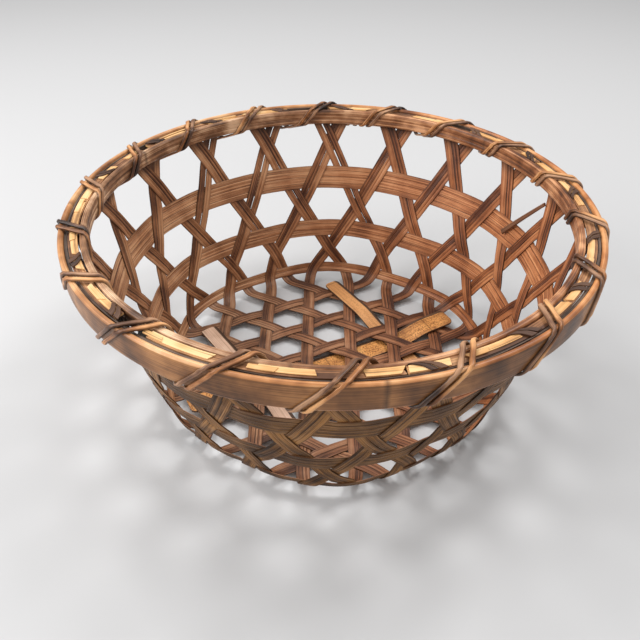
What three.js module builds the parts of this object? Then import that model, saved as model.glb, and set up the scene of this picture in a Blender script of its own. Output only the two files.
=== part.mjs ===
// Round bamboo basket in open hexagon weave, with a flared wall and a lashed double rim.
// Millimetres, +Z up. The origin is the middle of the base, on the surface that the basket stands on.
import * as THREE from 'three';

// Driving dimensions of the whole basket
const rimRadius = 225;
const rimRise = 184;            // top of the rim above the middle of the base weave
const wallFootRadius = 157;     // where the straight wall would meet the plane of the base weave
const wallTopRise = 166;        // where the straight wall would reach the upright edge inside the rim
const cornerRadius = 14;        // the bend from base to wall
const collarRadius = 30;        // the bend from wall to the upright edge inside the rim
const ovalShare = 0.005;        // the base is a little longer from side to side than front to back
const hexShare = 0.018;         // and stands out a little at its six corners

// The strips that make the base and run up the wall
const stripWidth = 11.2;        // in the base
const stripTopWidth = 13.8;     // up the wall, where the two splints of a strip spread
const stripThickness = 1.4;
const weaveGap = 0.7;
const crossMargin = 0.75;       // how far a strip runs level past the edge of the one it crosses
const leastRamp = 1.6;          // shortest climb or fall between two crossings
const familyAngles = [0, 62.4, 117.6];
const spacingShares = [0.2753, 0.2571, 0.2571];   // of the run out to the foot band
const laneShares = [-2.5, -1.5, -0.5, 0.5, 1.5, 2.5];

// The three bands that go round, and how far apart they lie along the run up the wall
const bandThickness = 1.4;
const footBandWidth = 11.5;
const middleBandWidth = 19;
const upperBandWidth = 25;
const flatToFoot = 16.15;       // from the edge of the flat base to the middle of the foot band
const footToMiddle = 48;
const middleToUpper = 59;
const upperToCrossing = 39;     // from the upper band to the last row of strip crossings
const rowShares = [0.49, 0.448];   // where the first two rows lie on the way from band to band

// The rim
const outerHoopThickness = 5;
const outerHoopDepth = 23;
const innerHoopThickness = 5.5;
const innerHoopDepth = 15;
const rimWidth = 22.5;          // inner face of the inner hoop to outer face of the outer hoop
const liningThickness = 2.2;
const liningDepth = 17;
const fillerThickness = 2.4;
const fillerDrop = 1.6;         // top of the fillers below the top of the hoops
const seatGap = 0.3;            // clearance between pieces that rest on each other
const hoopGap = 0.5;            // clearance between the inner hoop and the strip ends

const hoopEdgeShare = 0.2;      // chamfer along the top of a hoop, as a share of its thickness
const hoopSegments = 72;
// Where each filler strip starts and stops round the rim, in degrees
const fillerAngles = [
  [-13, 5.2], [5.8, 22.7], [23.3, 47], [55, 91], [103, 148], [151, 179.7], [180.3, 192.7],
  [193.3, 203.6], [204.2, 227.2], [236, 281.7], [282.3, 319.7], [320.3, 345.6],
];

// The lashing: two strands side by side, wound round the rim once for each bay
const lashWidth = 5.8;          // measured along the rim, which the strands cross at a slant
const lashThickness = 1.6;
const lashCrownShare = 0.65;    // height of a strand's edges as a share of its height in the middle
const lashTurns = 18;
const lashStartAngle = 84;      // foot of the first turn on the outer hoop, in degrees
const strandSpread = 2.1;       // angle between the two strands, in degrees
const lashCornerShare = 1.15;   // a strand stands off a corner a little more than off a face
const lashUnderInset = 6;       // under the outer hoop, where a strand turns up toward the inner hoop
// How much of a bay a strand advances on each face of the rim and round each corner. The rest is below.
const outerFaceShare = 0.327;
const topFaceShare = 0.223;
const innerFaceShare = 0.167;
const cornerShare = 0.015;

// The stiffening slats under and over the base
const slatThickness = 2;
const slatRampLength = 25;
const mainSlatWidth = 24;
const mainSlatHalfLength = 148;
const mainSlatAside = 3;         // from the middle of the base toward the back
const sideSlatWidth = 18;
// Each side slat passes through a hexagon hole on its side of the base. Its heading is in degrees, its
// reach is measured from that hole, and the right one slips over the main slat before it comes down.
const rightSlat = { heading: -56, back: 77, front: 132, comesDown: 68 };
const leftSlat = { heading: -54.6, back: 145, front: 66 };

const degree = Math.PI / 180;
const fullTurn = 360 * degree;
const slopeProbe = 0.01;        // small step used to measure directions on the surface
const sampleStep = 2;           // spacing of the points that a path is measured on

// Sizes that follow from the ones above
const strandLift = (stripThickness + weaveGap) / 2;
const weaveHalfHeight = strandLift + stripThickness / 2;
const slatStack = 2 * (slatThickness + seatGap);
const weaveHeight = slatStack + weaveHalfHeight;
const rimTop = weaveHeight + rimRise;
const stripTopGap = fillerDrop + fillerThickness + seatGap;
const innerHoopFace = rimRadius - rimWidth;
const innerHoopBack = innerHoopFace + innerHoopThickness;
const collarFace = innerHoopBack + hoopGap + weaveHalfHeight;
const outerHoopBack = rimRadius - outerHoopThickness;
const liningFace = outerHoopBack - seatGap - liningThickness;

// Profile of the woven surface: flat base, corner bend, straight wall, bend to upright.
const wallAngle = Math.atan2(wallTopRise, collarFace - wallFootRadius);
const flatRadius = wallFootRadius - cornerRadius * Math.tan(wallAngle / 2);
const cornerEnd = flatRadius + cornerRadius * wallAngle;
const cornerTopRadius = flatRadius + cornerRadius * Math.sin(wallAngle);
const cornerTopRise = cornerRadius * (1 - Math.cos(wallAngle));
const collarFootRadius = collarFace - collarRadius * (1 - Math.sin(wallAngle));
const collarStart = cornerEnd + (collarFootRadius - cornerTopRadius) / Math.cos(wallAngle);
const collarFootRise = cornerTopRise + (collarStart - cornerEnd) * Math.sin(wallAngle);
const collarEnd = collarStart + collarRadius * (fullTurn / 4 - wallAngle);
const collarEndRise = collarFootRise + collarRadius * Math.cos(wallAngle);
const stripEndRun = collarEnd + (rimRise - stripTopGap - collarEndRise);

// Where the bands and the rows of strip crossings lie along the run
const footBandRun = flatRadius + flatToFoot;
const middleBandRun = footBandRun + footToMiddle;
const upperBandRun = middleBandRun + middleToUpper;
const crossRuns = [
  footBandRun + rowShares[0] * footToMiddle,
  middleBandRun + rowShares[1] * middleToUpper,
  upperBandRun + upperToCrossing,
];
const familySpacings = spacingShares.map((share) => share * footBandRun);

function profileAt(run) {
  if (run < flatRadius) {
    return { radius: run, rise: 0 };
  }
  if (run < cornerEnd) {
    const turn = (run - flatRadius) / cornerRadius;
    return { radius: flatRadius + cornerRadius * Math.sin(turn), rise: cornerRadius * (1 - Math.cos(turn)) };
  }
  if (run < collarStart) {
    const along = run - cornerEnd;
    return {
      radius: cornerTopRadius + along * Math.cos(wallAngle),
      rise: cornerTopRise + along * Math.sin(wallAngle),
    };
  }
  if (run < collarEnd) {
    const turn = wallAngle + (run - collarStart) / collarRadius;
    return {
      radius: collarFootRadius + collarRadius * (Math.sin(turn) - Math.sin(wallAngle)),
      rise: collarFootRise + collarRadius * (Math.cos(wallAngle) - Math.cos(turn)),
    };
  }
  return { radius: collarFace, rise: collarEndRise + (run - collarEnd) };
}

// The oval and the six corners grow from the middle of the base and fade out up the wall.
function bulgeAt(run, angle) {
  const shape = ovalShare * Math.cos(2 * angle) - hexShare * Math.cos(6 * angle);
  const grow = Math.min(run / footBandRun, 1);
  const fade = THREE.MathUtils.smoothstep(run, footBandRun, collarStart);
  return shape * grow * grow * (1 - fade);
}

function surfacePoint(run, angle) {
  const { radius, rise } = profileAt(run);
  const wide = radius * (1 + bulgeAt(run, angle));
  return new THREE.Vector3(wide * Math.cos(angle), wide * Math.sin(angle), weaveHeight + rise);
}

function surfaceFrame(run, angle) {
  const turnProbe = slopeProbe / wallFootRadius;
  const alongRun = surfacePoint(run + slopeProbe, angle).sub(surfacePoint(run - slopeProbe, angle));
  const round = surfacePoint(run, angle + turnProbe).sub(surfacePoint(run, angle - turnProbe));
  alongRun.divideScalar(2 * slopeProbe);
  round.divideScalar(2 * turnProbe);
  const normal = alongRun.clone().cross(round).normalize();
  return { alongRun, round, normal };
}

// The run at which a point of the flat base, given in plan, lies on the surface.
function runOfPlanPoint(x, y) {
  const angle = Math.atan2(y, x);
  const reach = Math.hypot(x, y);
  let low = 0;
  let high = cornerEnd;
  while (high - low > slopeProbe) {
    const middle = (low + high) / 2;
    const wide = profileAt(middle).radius * (1 + bulgeAt(middle, angle));
    if (wide < reach) low = middle;
    else high = middle;
  }
  return (low + high) / 2;
}

// A path on the surface, kept as points of the flat map (run and angle as polar coordinates).
class SurfacePath {
  constructor(mapPoints, closed) {
    this.closed = closed;
    this.curve = new THREE.CatmullRomCurve3(mapPoints, closed, 'centripetal');
    const steps = Math.ceil(this.curve.getLength() / sampleStep);
    this.curve.arcLengthDivisions = 2 * steps;
    this.curve.updateArcLengths();
    this.samples = [];
    let along = 0;
    let previous = null;
    this.curve.getSpacedPoints(steps).forEach((map) => {
      const place = surfacePoint(map.length(), Math.atan2(map.y, map.x));
      if (previous) along += place.distanceTo(previous);
      this.samples.push({ map, along });
      previous = place;
    });
    this.length = along;
    this.crossings = [];
  }

  mapAt(along) {
    let wanted = along;
    if (this.closed) wanted = THREE.MathUtils.euclideanModulo(along, this.length);
    let low = 0;
    let high = this.samples.length - 1;
    while (high - low > 1) {
      const middle = Math.floor((low + high) / 2);
      if (this.samples[middle].along <= wanted) low = middle;
      else high = middle;
    }
    const a = this.samples[low];
    const b = this.samples[high];
    return a.map.clone().lerp(b.map, (wanted - a.along) / (b.along - a.along));
  }

  placeAt(along) {
    const map = this.mapAt(along);
    return { run: map.length(), angle: Math.atan2(map.y, map.x) };
  }

  directionAt(along) {
    const before = this.placeAt(along - sampleStep / 2);
    const after = this.placeAt(along + sampleStep / 2);
    const start = surfacePoint(before.run, before.angle);
    return surfacePoint(after.run, after.angle).sub(start).normalize();
  }

  // A point beside the path, on the surface, and lifted off it along its normal.
  pointBeside(along, aside, lift) {
    const { run, angle } = this.placeAt(along);
    const { alongRun, round, normal } = surfaceFrame(run, angle);
    const side = normal.clone().cross(this.directionAt(along)).normalize();
    const sideRun = run + aside * side.dot(alongRun) / alongRun.lengthSq();
    const sideAngle = angle + aside * side.dot(round) / round.lengthSq();
    const frame = surfaceFrame(sideRun, sideAngle);
    return surfacePoint(sideRun, sideAngle).addScaledVector(frame.normal, lift);
  }
}

function mapPoint(run, angle) {
  return new THREE.Vector3(run * Math.cos(angle), run * Math.sin(angle), 0);
}

// The strips: lanes of three families cross the base, and each end climbs the wall.
const strips = [];
familyAngles.forEach((familyAngle, family) => {
  laneShares.forEach((laneShare, lane) => {
    const offset = laneShare * familySpacings[family];
    const facing = familyAngle * degree + (offset < 0 ? fullTurn / 2 : 0);
    strips.push({ family, lane, facing, reach: Math.abs(offset) });
  });
});

// Where a strip end, straight in the base, meets the foot band.
const settlingPasses = 6;
function footAngle(strip, turnSign) {
  let angle = strip.facing + turnSign * Math.acos(strip.reach / footBandRun);
  for (let pass = 0; pass < settlingPasses; pass += 1) {
    const wide = profileAt(footBandRun).radius * (1 + bulgeAt(footBandRun, angle));
    angle = strip.facing + turnSign * Math.acos(strip.reach / wide);
  }
  return angle;
}

// Each strip end that turns one way meets, above the foot band, its nearest partner that turns the other way.
const pitch = fullTurn / lashTurns;
const ends = [];
strips.forEach((strip) => {
  [1, -1].forEach((turnSign) => {
    ends.push({ strip, turnSign, foot: footAngle(strip, turnSign) });
  });
});
function wrapAngle(angle) {
  return THREE.MathUtils.euclideanModulo(angle + fullTurn / 2, fullTurn) - fullTurn / 2;
}
const crossKeepShares = [0.7, 0.2, 0];   // how much of the uneven spacing each row still has
const bandKeepShares = [0.4, 0.1];
const footKeepShare = 0.9;
// How much of its own spread a close or a wide pair of ends keeps at the foot band
const closePairKeepShare = 0.6;
const widePairKeepShare = 0.45;
ends.filter((end) => end.turnSign > 0).forEach((end) => {
  const others = ends.filter((other) => other.turnSign < 0);
  const partner = others.reduce((best, other) => {
    const lead = THREE.MathUtils.euclideanModulo(other.foot - end.foot, fullTurn);
    return !best || lead < best.lead ? { other, lead } : best;
  }, null);
  const natural = end.foot + partner.lead / 2;
  const even = Math.round((natural - fullTurn / 4) / pitch) * pitch + fullTurn / 4;
  end.shift = natural - even;
  end.even = even;
  end.spread = partner.lead / 2;
  partner.other.shift = natural - even;
  partner.other.spread = partner.lead / 2;
  partner.other.even = even + fullTurn * Math.round((partner.other.foot - even) / fullTurn);
});

function climbPoints(end) {
  const { turnSign, even, shift, spread } = end;
  const step = turnSign * pitch / 4;
  const pairKeepShare = spread < pitch / 4 ? closePairKeepShare : widePairKeepShare;
  const foot = even - step + footKeepShare * shift - turnSign * pairKeepShare * (spread - pitch / 4);
  const points = [mapPoint(footBandRun, foot)];
  const stages = [
    [crossRuns[0], 0, crossKeepShares[0]],
    [middleBandRun, 1, bandKeepShares[0]],
    [crossRuns[1], 2, crossKeepShares[1]],
    [upperBandRun, 3, bandKeepShares[1]],
    [crossRuns[2], 4, crossKeepShares[2]],
    [stripEndRun, 4 + (stripEndRun - crossRuns[2]) / (crossRuns[2] - upperBandRun), 0],
  ];
  stages.forEach(([run, halfRows, keep]) => {
    points.push(mapPoint(run, even + keep * shift + step * halfRows));
  });
  return points;
}

const basePieces = 6;   // spans of a strip's path across the base
function stripPath(strip) {
  const climbs = [1, -1].map((turnSign) => climbPoints(ends.find(
    (end) => end.strip === strip && end.turnSign === turnSign)));
  const normal = new THREE.Vector2(Math.cos(strip.facing), Math.sin(strip.facing));
  const along = new THREE.Vector2(-normal.y, normal.x);
  const half = Math.sqrt(flatRadius ** 2 - strip.reach ** 2);
  const base = [];
  for (let i = 0; i <= basePieces; i += 1) {
    const t = half * (1 - 2 * i / basePieces);
    const x = normal.x * strip.reach + along.x * t;
    const y = normal.y * strip.reach + along.y * t;
    base.push(mapPoint(runOfPlanPoint(x, y), Math.atan2(y, x)));
  }
  return new SurfacePath([...climbs[0].reverse(), ...base, ...climbs[1]], false);
}

function bandPath(run) {
  const points = [];
  for (let i = 0; i < hoopSegments; i += 1) {
    points.push(mapPoint(run, fullTurn * i / hoopSegments));
  }
  return new SurfacePath(points, true);
}

strips.forEach((strip) => {
  strip.path = stripPath(strip);
  strip.widthAt = (run) => {
    const spread = THREE.MathUtils.smoothstep(run, footBandRun, upperBandRun);
    return stripWidth + spread * (stripTopWidth - stripWidth);
  };
});
const bands = [
  { name: 'band_foot', run: footBandRun, width: footBandWidth },
  { name: 'band_middle', run: middleBandRun, width: middleBandWidth },
  { name: 'band_upper', run: upperBandRun, width: upperBandWidth },
];
bands.forEach((band) => {
  band.path = bandPath(band.run);
  band.widthAt = () => band.width;
});

// Every crossing of two paths, found on the flat map.
function crossingsOf(first, second) {
  const found = [];
  const a = first.path.samples;
  const b = second.path.samples;
  for (let i = 1; i < a.length; i += 1) {
    const p = a[i - 1].map;
    const r = a[i].map.clone().sub(p);
    for (let j = 1; j < b.length; j += 1) {
      const q = b[j - 1].map;
      if (Math.abs(p.x - q.x) > 2 * sampleStep || Math.abs(p.y - q.y) > 2 * sampleStep) continue;
      const s = b[j].map.clone().sub(q);
      const area = r.x * s.y - r.y * s.x;
      if (area === 0) continue;
      const t = ((q.x - p.x) * s.y - (q.y - p.y) * s.x) / area;
      const u = ((q.x - p.x) * r.y - (q.y - p.y) * r.x) / area;
      if (t < 0 || t >= 1 || u < 0 || u >= 1) continue;
      found.push({
        firstAlong: a[i - 1].along + t * (a[i].along - a[i - 1].along),
        secondAlong: b[j - 1].along + u * (b[j].along - b[j - 1].along),
        run: p.length(),
      });
    }
  }
  return found;
}

// True where a strip, followed outward at this place, turns to a larger angle.
function turnsForward(path, along) {
  const before = path.placeAt(along - sampleStep);
  const after = path.placeAt(along + sampleStep);
  return wrapAngle(after.angle - before.angle) * (after.run - before.run) > 0;
}

function addCrossing(lower, lowerAlong, upper, upperAlong) {
  lower.path.crossings.push({ along: lowerAlong, other: upper, otherAlong: upperAlong, level: -1 });
  upper.path.crossings.push({ along: upperAlong, other: lower, otherAlong: lowerAlong, level: 1 });
}

// Base: each family lies over the one before it. Wall: forward strips lie inside backward ones.
strips.forEach((first, i) => {
  strips.slice(i + 1).forEach((second) => {
    crossingsOf(first, second).forEach((cross) => {
      let firstOver = turnsForward(first.path, cross.firstAlong);
      if (cross.run < footBandRun) firstOver = (first.family - second.family + 3) % 3 === 1;
      if (firstOver) addCrossing(second, cross.secondAlong, first, cross.firstAlong);
      else addCrossing(first, cross.firstAlong, second, cross.secondAlong);
    });
  });
  bands.forEach((band) => {
    crossingsOf(first, band).forEach((cross) => {
      const bandOver = turnsForward(first.path, cross.firstAlong);
      if (bandOver) addCrossing(first, cross.firstAlong, band, cross.secondAlong);
      else addCrossing(band, cross.secondAlong, first, cross.firstAlong);
    });
  });
});

// Joins rings of points into one closed body. Open rows get flat ends.
function loft(rings, closed) {
  const sides = rings[0].length;
  const positions = [];
  rings.forEach((ring) => ring.forEach((point) => positions.push(point.x, point.y, point.z)));
  const triangles = [];
  const spans = closed ? rings.length : rings.length - 1;
  for (let i = 0; i < spans; i += 1) {
    const next = (i + 1) % rings.length;
    for (let k = 0; k < sides; k += 1) {
      const a = i * sides + k;
      const b = i * sides + (k + 1) % sides;
      const c = next * sides + (k + 1) % sides;
      const d = next * sides + k;
      const acrossA = rings[i][k].distanceTo(rings[next][(k + 1) % sides]);
      const acrossB = rings[i][(k + 1) % sides].distanceTo(rings[next][k]);
      if (acrossA < acrossB) triangles.push(a, b, c, a, c, d);
      else triangles.push(a, b, d, b, c, d);
    }
  }
  if (!closed) {
    const last = (rings.length - 1) * sides;
    for (let k = 1; k < sides - 1; k += 1) {
      triangles.push(0, k + 1, k);
      triangles.push(last, last + k, last + k + 1);
    }
  }
  let volume = 0;
  const corner = (index) => new THREE.Vector3().fromArray(positions, 3 * index);
  for (let i = 0; i < triangles.length; i += 3) {
    volume += corner(triangles[i]).dot(corner(triangles[i + 1]).cross(corner(triangles[i + 2])));
  }
  if (volume < 0) triangles.reverse();
  const geometry = new THREE.BufferGeometry();
  geometry.setAttribute('position', new THREE.Float32BufferAttribute(positions, 3));
  geometry.setIndex(triangles);
  geometry.computeVertexNormals();
  return geometry;
}

// The places along one edge of a ribbon where it starts and stops lying level at each crossing.
function edgeKnots(piece, asideShare) {
  const { path } = piece;
  const sorted = [...path.crossings].sort((a, b) => a.along - b.along);
  const knots = sorted.map((cross) => {
    const direction = path.directionAt(cross.along);
    const other = cross.other.path.directionAt(cross.otherAlong);
    const { run, angle } = path.placeAt(cross.along);
    const side = surfaceFrame(run, angle).normal.cross(direction).normalize();
    const sine = other.dot(side);
    const cosine = other.dot(direction);
    const aside = asideShare * piece.widthAt(run);
    const otherPlace = cross.other.path.placeAt(cross.otherAlong);
    const reach = (cross.other.widthAt(otherPlace.run) / 2 + crossMargin) / Math.abs(sine);
    const middle = cross.along + aside * cosine / sine;
    return { start: middle - reach, stop: middle + reach, level: cross.level };
  });
  const count = knots.length;
  for (let i = 0; i < count; i += 1) {
    const isLast = i === count - 1;
    if (isLast && !path.closed) break;
    const next = knots[(i + 1) % count];
    const wrap = isLast ? path.length : 0;
    if (next.start + wrap - knots[i].stop < leastRamp) {
      const middle = (next.start + wrap + knots[i].stop) / 2;
      knots[i].stop = middle - leastRamp / 2;
      next.start = middle + leastRamp / 2 - wrap;
    }
  }
  return knots;
}

// Where an edge of a strip stops, so that the end of the strip is cut level with the rim.
function levelCut(piece, along, asideShare) {
  const { run, angle } = piece.path.placeAt(along);
  const { alongRun, normal } = surfaceFrame(run, angle);
  const direction = piece.path.directionAt(along);
  const side = normal.cross(direction).normalize();
  const aside = asideShare * piece.widthAt(run);
  return along - aside * side.dot(alongRun) / direction.dot(alongRun);
}

// How far apart rings may be where the surface bends.
const bendRingStep = 8;
const wallRingStep = 30;
const flatRingStep = 60;
function ringStepAt(path, along) {
  if (path.closed) return wallRingStep;
  const { run } = path.placeAt(along);
  if (run < flatRadius - stripWidth / 2) return flatRingStep;
  if (run < cornerEnd + stripWidth / 2) return bendRingStep;
  return run < collarStart - stripWidth / 2 ? wallRingStep : bendRingStep;
}

// A strip or band that lies level over or under each piece it crosses and ramps in between.
function ribbon(piece, thickness, across) {
  const { path } = piece;
  const asideShares = [];
  for (let k = 0; k < across; k += 1) {
    asideShares.push(1 / 2 - k / (across - 1));
  }
  const lanes = asideShares.map((share) => edgeKnots(piece, share));
  const rows = [];
  const count = lanes[0].length;
  const pushRow = (places, level) => rows.push({ places, level });
  if (!path.closed) pushRow(asideShares.map((share) => levelCut(piece, 0, share)), lanes[0][0].level);
  for (let i = 0; i < count; i += 1) {
    pushRow(lanes.map((knots) => knots[i].start), lanes[0][i].level);
    pushRow(lanes.map((knots) => knots[i].stop), lanes[0][i].level);
  }
  if (!path.closed) {
    const cuts = asideShares.map((share) => levelCut(piece, path.length, share));
    pushRow(cuts, lanes[0][count - 1].level);
  } else {
    pushRow(lanes.map((knots) => knots[0].start + path.length), lanes[0][0].level);
  }
  const rings = [];
  const pushRing = (places, level) => {
    const pointAt = (k, lift) => {
      const aside = asideShares[k] * piece.widthAt(path.placeAt(places[k]).run);
      return path.pointBeside(places[k], aside, level * strandLift + lift);
    };
    const order = [...places.keys()];
    const under = order.map((k) => pointAt(k, -thickness / 2));
    const over = order.reverse().map((k) => pointAt(k, thickness / 2));
    rings.push([...under, ...over]);
  };
  for (let i = 0; i + 1 < rows.length; i += 1) {
    const a = rows[i];
    const b = rows[i + 1];
    const middle = (a.places[0] + b.places[0]) / 2;
    const span = Math.max(...a.places.map((place, k) => b.places[k] - place));
    const pieces = Math.max(1, Math.ceil(span / ringStepAt(path, middle)));
    for (let k = 0; k < pieces; k += 1) {
      const share = k / pieces;
      const eased = share * share * (3 - 2 * share);
      pushRing(a.places.map((place, m) => place + share * (b.places[m] - place)),
        a.level + eased * (b.level - a.level));
    }
  }
  if (!path.closed) {
    const last = rows[rows.length - 1];
    pushRing(last.places, last.level);
  }
  return loft(rings, path.closed);
}

// Finishes
const bambooBrown = new THREE.MeshStandardMaterial({ color: 0x8a5535, roughness: 0.6, metalness: 0 });
const bambooOlive = new THREE.MeshStandardMaterial({ color: 0x8c7048, roughness: 0.6, metalness: 0 });
const hoopBrown = new THREE.MeshStandardMaterial({ color: 0xa0683c, roughness: 0.5, metalness: 0 });
const freshBamboo = new THREE.MeshStandardMaterial({ color: 0xdcae6c, roughness: 0.65, metalness: 0 });
const slatBamboo = new THREE.MeshStandardMaterial({ color: 0xc08c4a, roughness: 0.65, metalness: 0 });
const caneBrown = new THREE.MeshStandardMaterial({ color: 0x8f6238, roughness: 0.5, metalness: 0 });

const basket = new THREE.Group();
function addPiece(name, geometry, material) {
  const mesh = new THREE.Mesh(geometry, material.clone());
  mesh.name = name;
  basket.add(mesh);
}

strips.forEach((strip) => {
  const familyName = ['upright', 'falling', 'rising'][strip.family];
  addPiece(`strip_${familyName}_${strip.lane + 1}`, ribbon(strip, stripThickness, 2), bambooBrown);
});
bands.forEach((band) => {
  addPiece(band.name, ribbon(band, bandThickness, band.run < cornerEnd ? 3 : 2), bambooOlive);
});

// Hoops and lining: one closed section turned round the axis.
function turned(outline) {
  const points = [...outline, outline[0]].map(([radius, z]) => new THREE.Vector2(radius, z));
  return new THREE.LatheGeometry(points, hoopSegments).rotateX(fullTurn / 4);
}

function hoop(innerFace, thickness, depth) {
  const outerFace = innerFace + thickness;
  const edge = thickness * hoopEdgeShare;
  return turned([
    [innerFace, rimTop - depth], [outerFace, rimTop - depth],
    [outerFace, rimTop - edge], [outerFace - edge, rimTop],
    [innerFace + edge, rimTop], [innerFace, rimTop - edge],
  ]);
}

const fillerTop = rimTop - fillerDrop;
addPiece('hoop_outer', hoop(outerHoopBack, outerHoopThickness, outerHoopDepth), hoopBrown);
addPiece('hoop_inner', hoop(innerHoopFace, innerHoopThickness, innerHoopDepth), hoopBrown);
addPiece('rim_lining', turned([
  [liningFace, fillerTop - liningDepth], [liningFace + liningThickness, fillerTop - liningDepth],
  [liningFace + liningThickness, fillerTop], [liningFace, fillerTop],
]), bambooOlive);

// Fillers: flat arcs between the inner hoop and the lining, resting on the strip ends.
function filler(start, stop) {
  const inner = innerHoopBack + seatGap;
  const outer = liningFace - seatGap;
  const bottom = fillerTop - fillerThickness;
  const section = [[inner, bottom], [outer, bottom], [outer, fillerTop], [inner, fillerTop]];
  const steps = Math.ceil((stop - start) * degree / (fullTurn / hoopSegments));
  const rings = [];
  for (let i = 0; i <= steps; i += 1) {
    const angle = (start + (stop - start) * i / steps) * degree;
    rings.push(section.map(([radius, z]) => new THREE.Vector3(
      radius * Math.cos(angle), radius * Math.sin(angle), z)));
  }
  return loft(rings, false);
}

fillerAngles.forEach(([start, stop], i) => {
  addPiece(`rim_filler_${i + 1}`, filler(start, stop), freshBamboo);
});

// One turn of the lashing round the rim: the corner or face that each ring lies on, the way it faces
// in the rim's section, in degrees, and the share of a bay by which it has come round the rim.
const strandOff = seatGap + lashThickness / 2;
const outerFoot = rimTop - outerHoopDepth;
const innerFoot = rimTop - innerHoopDepth;
const onTopShare = cornerShare + outerFaceShare + cornerShare;
const insideShare = onTopShare + topFaceShare + cornerShare;
const belowShare = insideShare + innerFaceShare + cornerShare;
const lashTurn = [
  { corner: [rimRadius, outerFoot], facing: -70, share: 0 },
  { corner: [rimRadius, outerFoot], facing: -20, share: cornerShare },
  { face: [rimRadius, (outerFoot + rimTop) / 2], facing: 0, share: onTopShare / 2 },
  { corner: [rimRadius, rimTop], facing: 20, share: onTopShare - cornerShare },
  { corner: [rimRadius, rimTop], facing: 70, share: onTopShare },
  { corner: [innerHoopFace, rimTop], facing: 110, share: insideShare - cornerShare },
  { corner: [innerHoopFace, rimTop], facing: 160, share: insideShare },
  { corner: [innerHoopFace, innerFoot], facing: 200, share: belowShare - cornerShare },
  { corner: [innerHoopFace, innerFoot], facing: 243, share: belowShare },
  { face: [rimRadius - lashUnderInset, outerFoot], facing: 260, share: 1 - 2 * cornerShare },
];

function strandRings(startAngle) {
  const places = [];
  for (let turn = 0; turn < lashTurns; turn += 1) {
    lashTurn.forEach(({ corner, face, facing, share }) => {
      const [radius, z] = corner || face;
      const off = corner ? strandOff * lashCornerShare : strandOff;
      const angle = startAngle * degree + (turn + share) * pitch;
      const outward = new THREE.Vector3(Math.cos(angle), Math.sin(angle), 0);
      const alongRim = new THREE.Vector3(-outward.y, outward.x, 0);
      const point = outward.clone().multiplyScalar(radius).setZ(z);
      const normal = outward.multiplyScalar(Math.cos(facing * degree)).setZ(Math.sin(facing * degree));
      places.push({ point: point.addScaledVector(normal, off), normal, alongRim });
    });
  }
  places.pop();
  const half = lashWidth / 2;
  const low = -lashThickness / 2;
  const edge = low + lashThickness * lashCrownShare;
  const section = [[-half, low], [half, low], [half, edge], [0, -low], [-half, edge]];
  return places.map(({ point, normal, alongRim }) => section.map(([aside, lift]) => point.clone()
    .addScaledVector(alongRim, aside).addScaledVector(normal, lift)));
}

// Least gap of a strand to itself, between outline points at least half a turn apart along it.
function leastGap(rings) {
  const apart = lashTurn.length / 2;
  const between = [0, 1 / 3, 2 / 3];
  const points = [];
  rings.slice(1).forEach((ring, i) => ring.forEach((point, k) => between.forEach((share) => {
    points.push({ at: i + share, place: rings[i][k].clone().lerp(point, share) });
  })));
  let least = Infinity;
  points.forEach((a, i) => points.slice(i + 1).forEach((b) => {
    if (b.at - a.at >= apart) least = Math.min(least, a.place.distanceTo(b.place));
  }));
  return least;
}

['a', 'b'].forEach((letter, i) => {
  const rings = strandRings(lashStartAngle + strandSpread * (1 / 2 - i));
  addPiece(`lashing_strand_${letter}`, loft(rings, false), caneBrown);
  console.log(`lashing_strand_${letter}: least gap to itself ${leastGap(rings).toFixed(2)} mm`);
});

// Slats: straight in plan, level under or over the weave, with ramps in the hexagon holes.
const floorLevel = slatThickness / 2;
const tuckedLevel = slatStack - seatGap - slatThickness / 2;
const overLevel = weaveHeight + weaveHalfHeight + seatGap + slatThickness / 2;
const cellWide = familySpacings[1] / (2 * Math.cos(familyAngles[1] * degree));
const cellDeep = familySpacings[1] / (2 * Math.sin(familyAngles[1] * degree));
const rampPieces = 6;

// A slat starts over the weave. Each ramp is given by its middle, measured along the slat from the
// hole, and by the level that it leads to.
function slat(hole, heading, width, back, front, ramps) {
  const along = new THREE.Vector3(Math.cos(heading), Math.sin(heading), 0);
  const aside = new THREE.Vector3(-along.y, along.x, 0);
  const rows = [{ at: -back, level: overLevel, slope: 0 }];
  let level = overLevel;
  ramps.forEach(({ at, to: next }) => {
    for (let i = 0; i <= rampPieces; i += 1) {
      const share = i / rampPieces;
      rows.push({
        at: at + (share - 1 / 2) * slatRampLength,
        level: level + (next - level) * share * share * (3 - 2 * share),
        slope: (next - level) * 6 * share * (1 - share) / slatRampLength,
      });
    }
    level = next;
  });
  rows.push({ at: front, level, slope: 0 });
  return loft(rows.map((row) => {
    const normal = new THREE.Vector3(0, 0, 1).addScaledVector(along, -row.slope).normalize();
    const centre = hole.clone().addScaledVector(along, row.at).setZ(row.level);
    return [[-1, -1], [1, -1], [1, 1], [-1, 1]].map(([side, face]) => centre.clone()
      .addScaledVector(aside, side * width / 2).addScaledVector(normal, face * slatThickness / 2));
  }), false);
}

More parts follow.
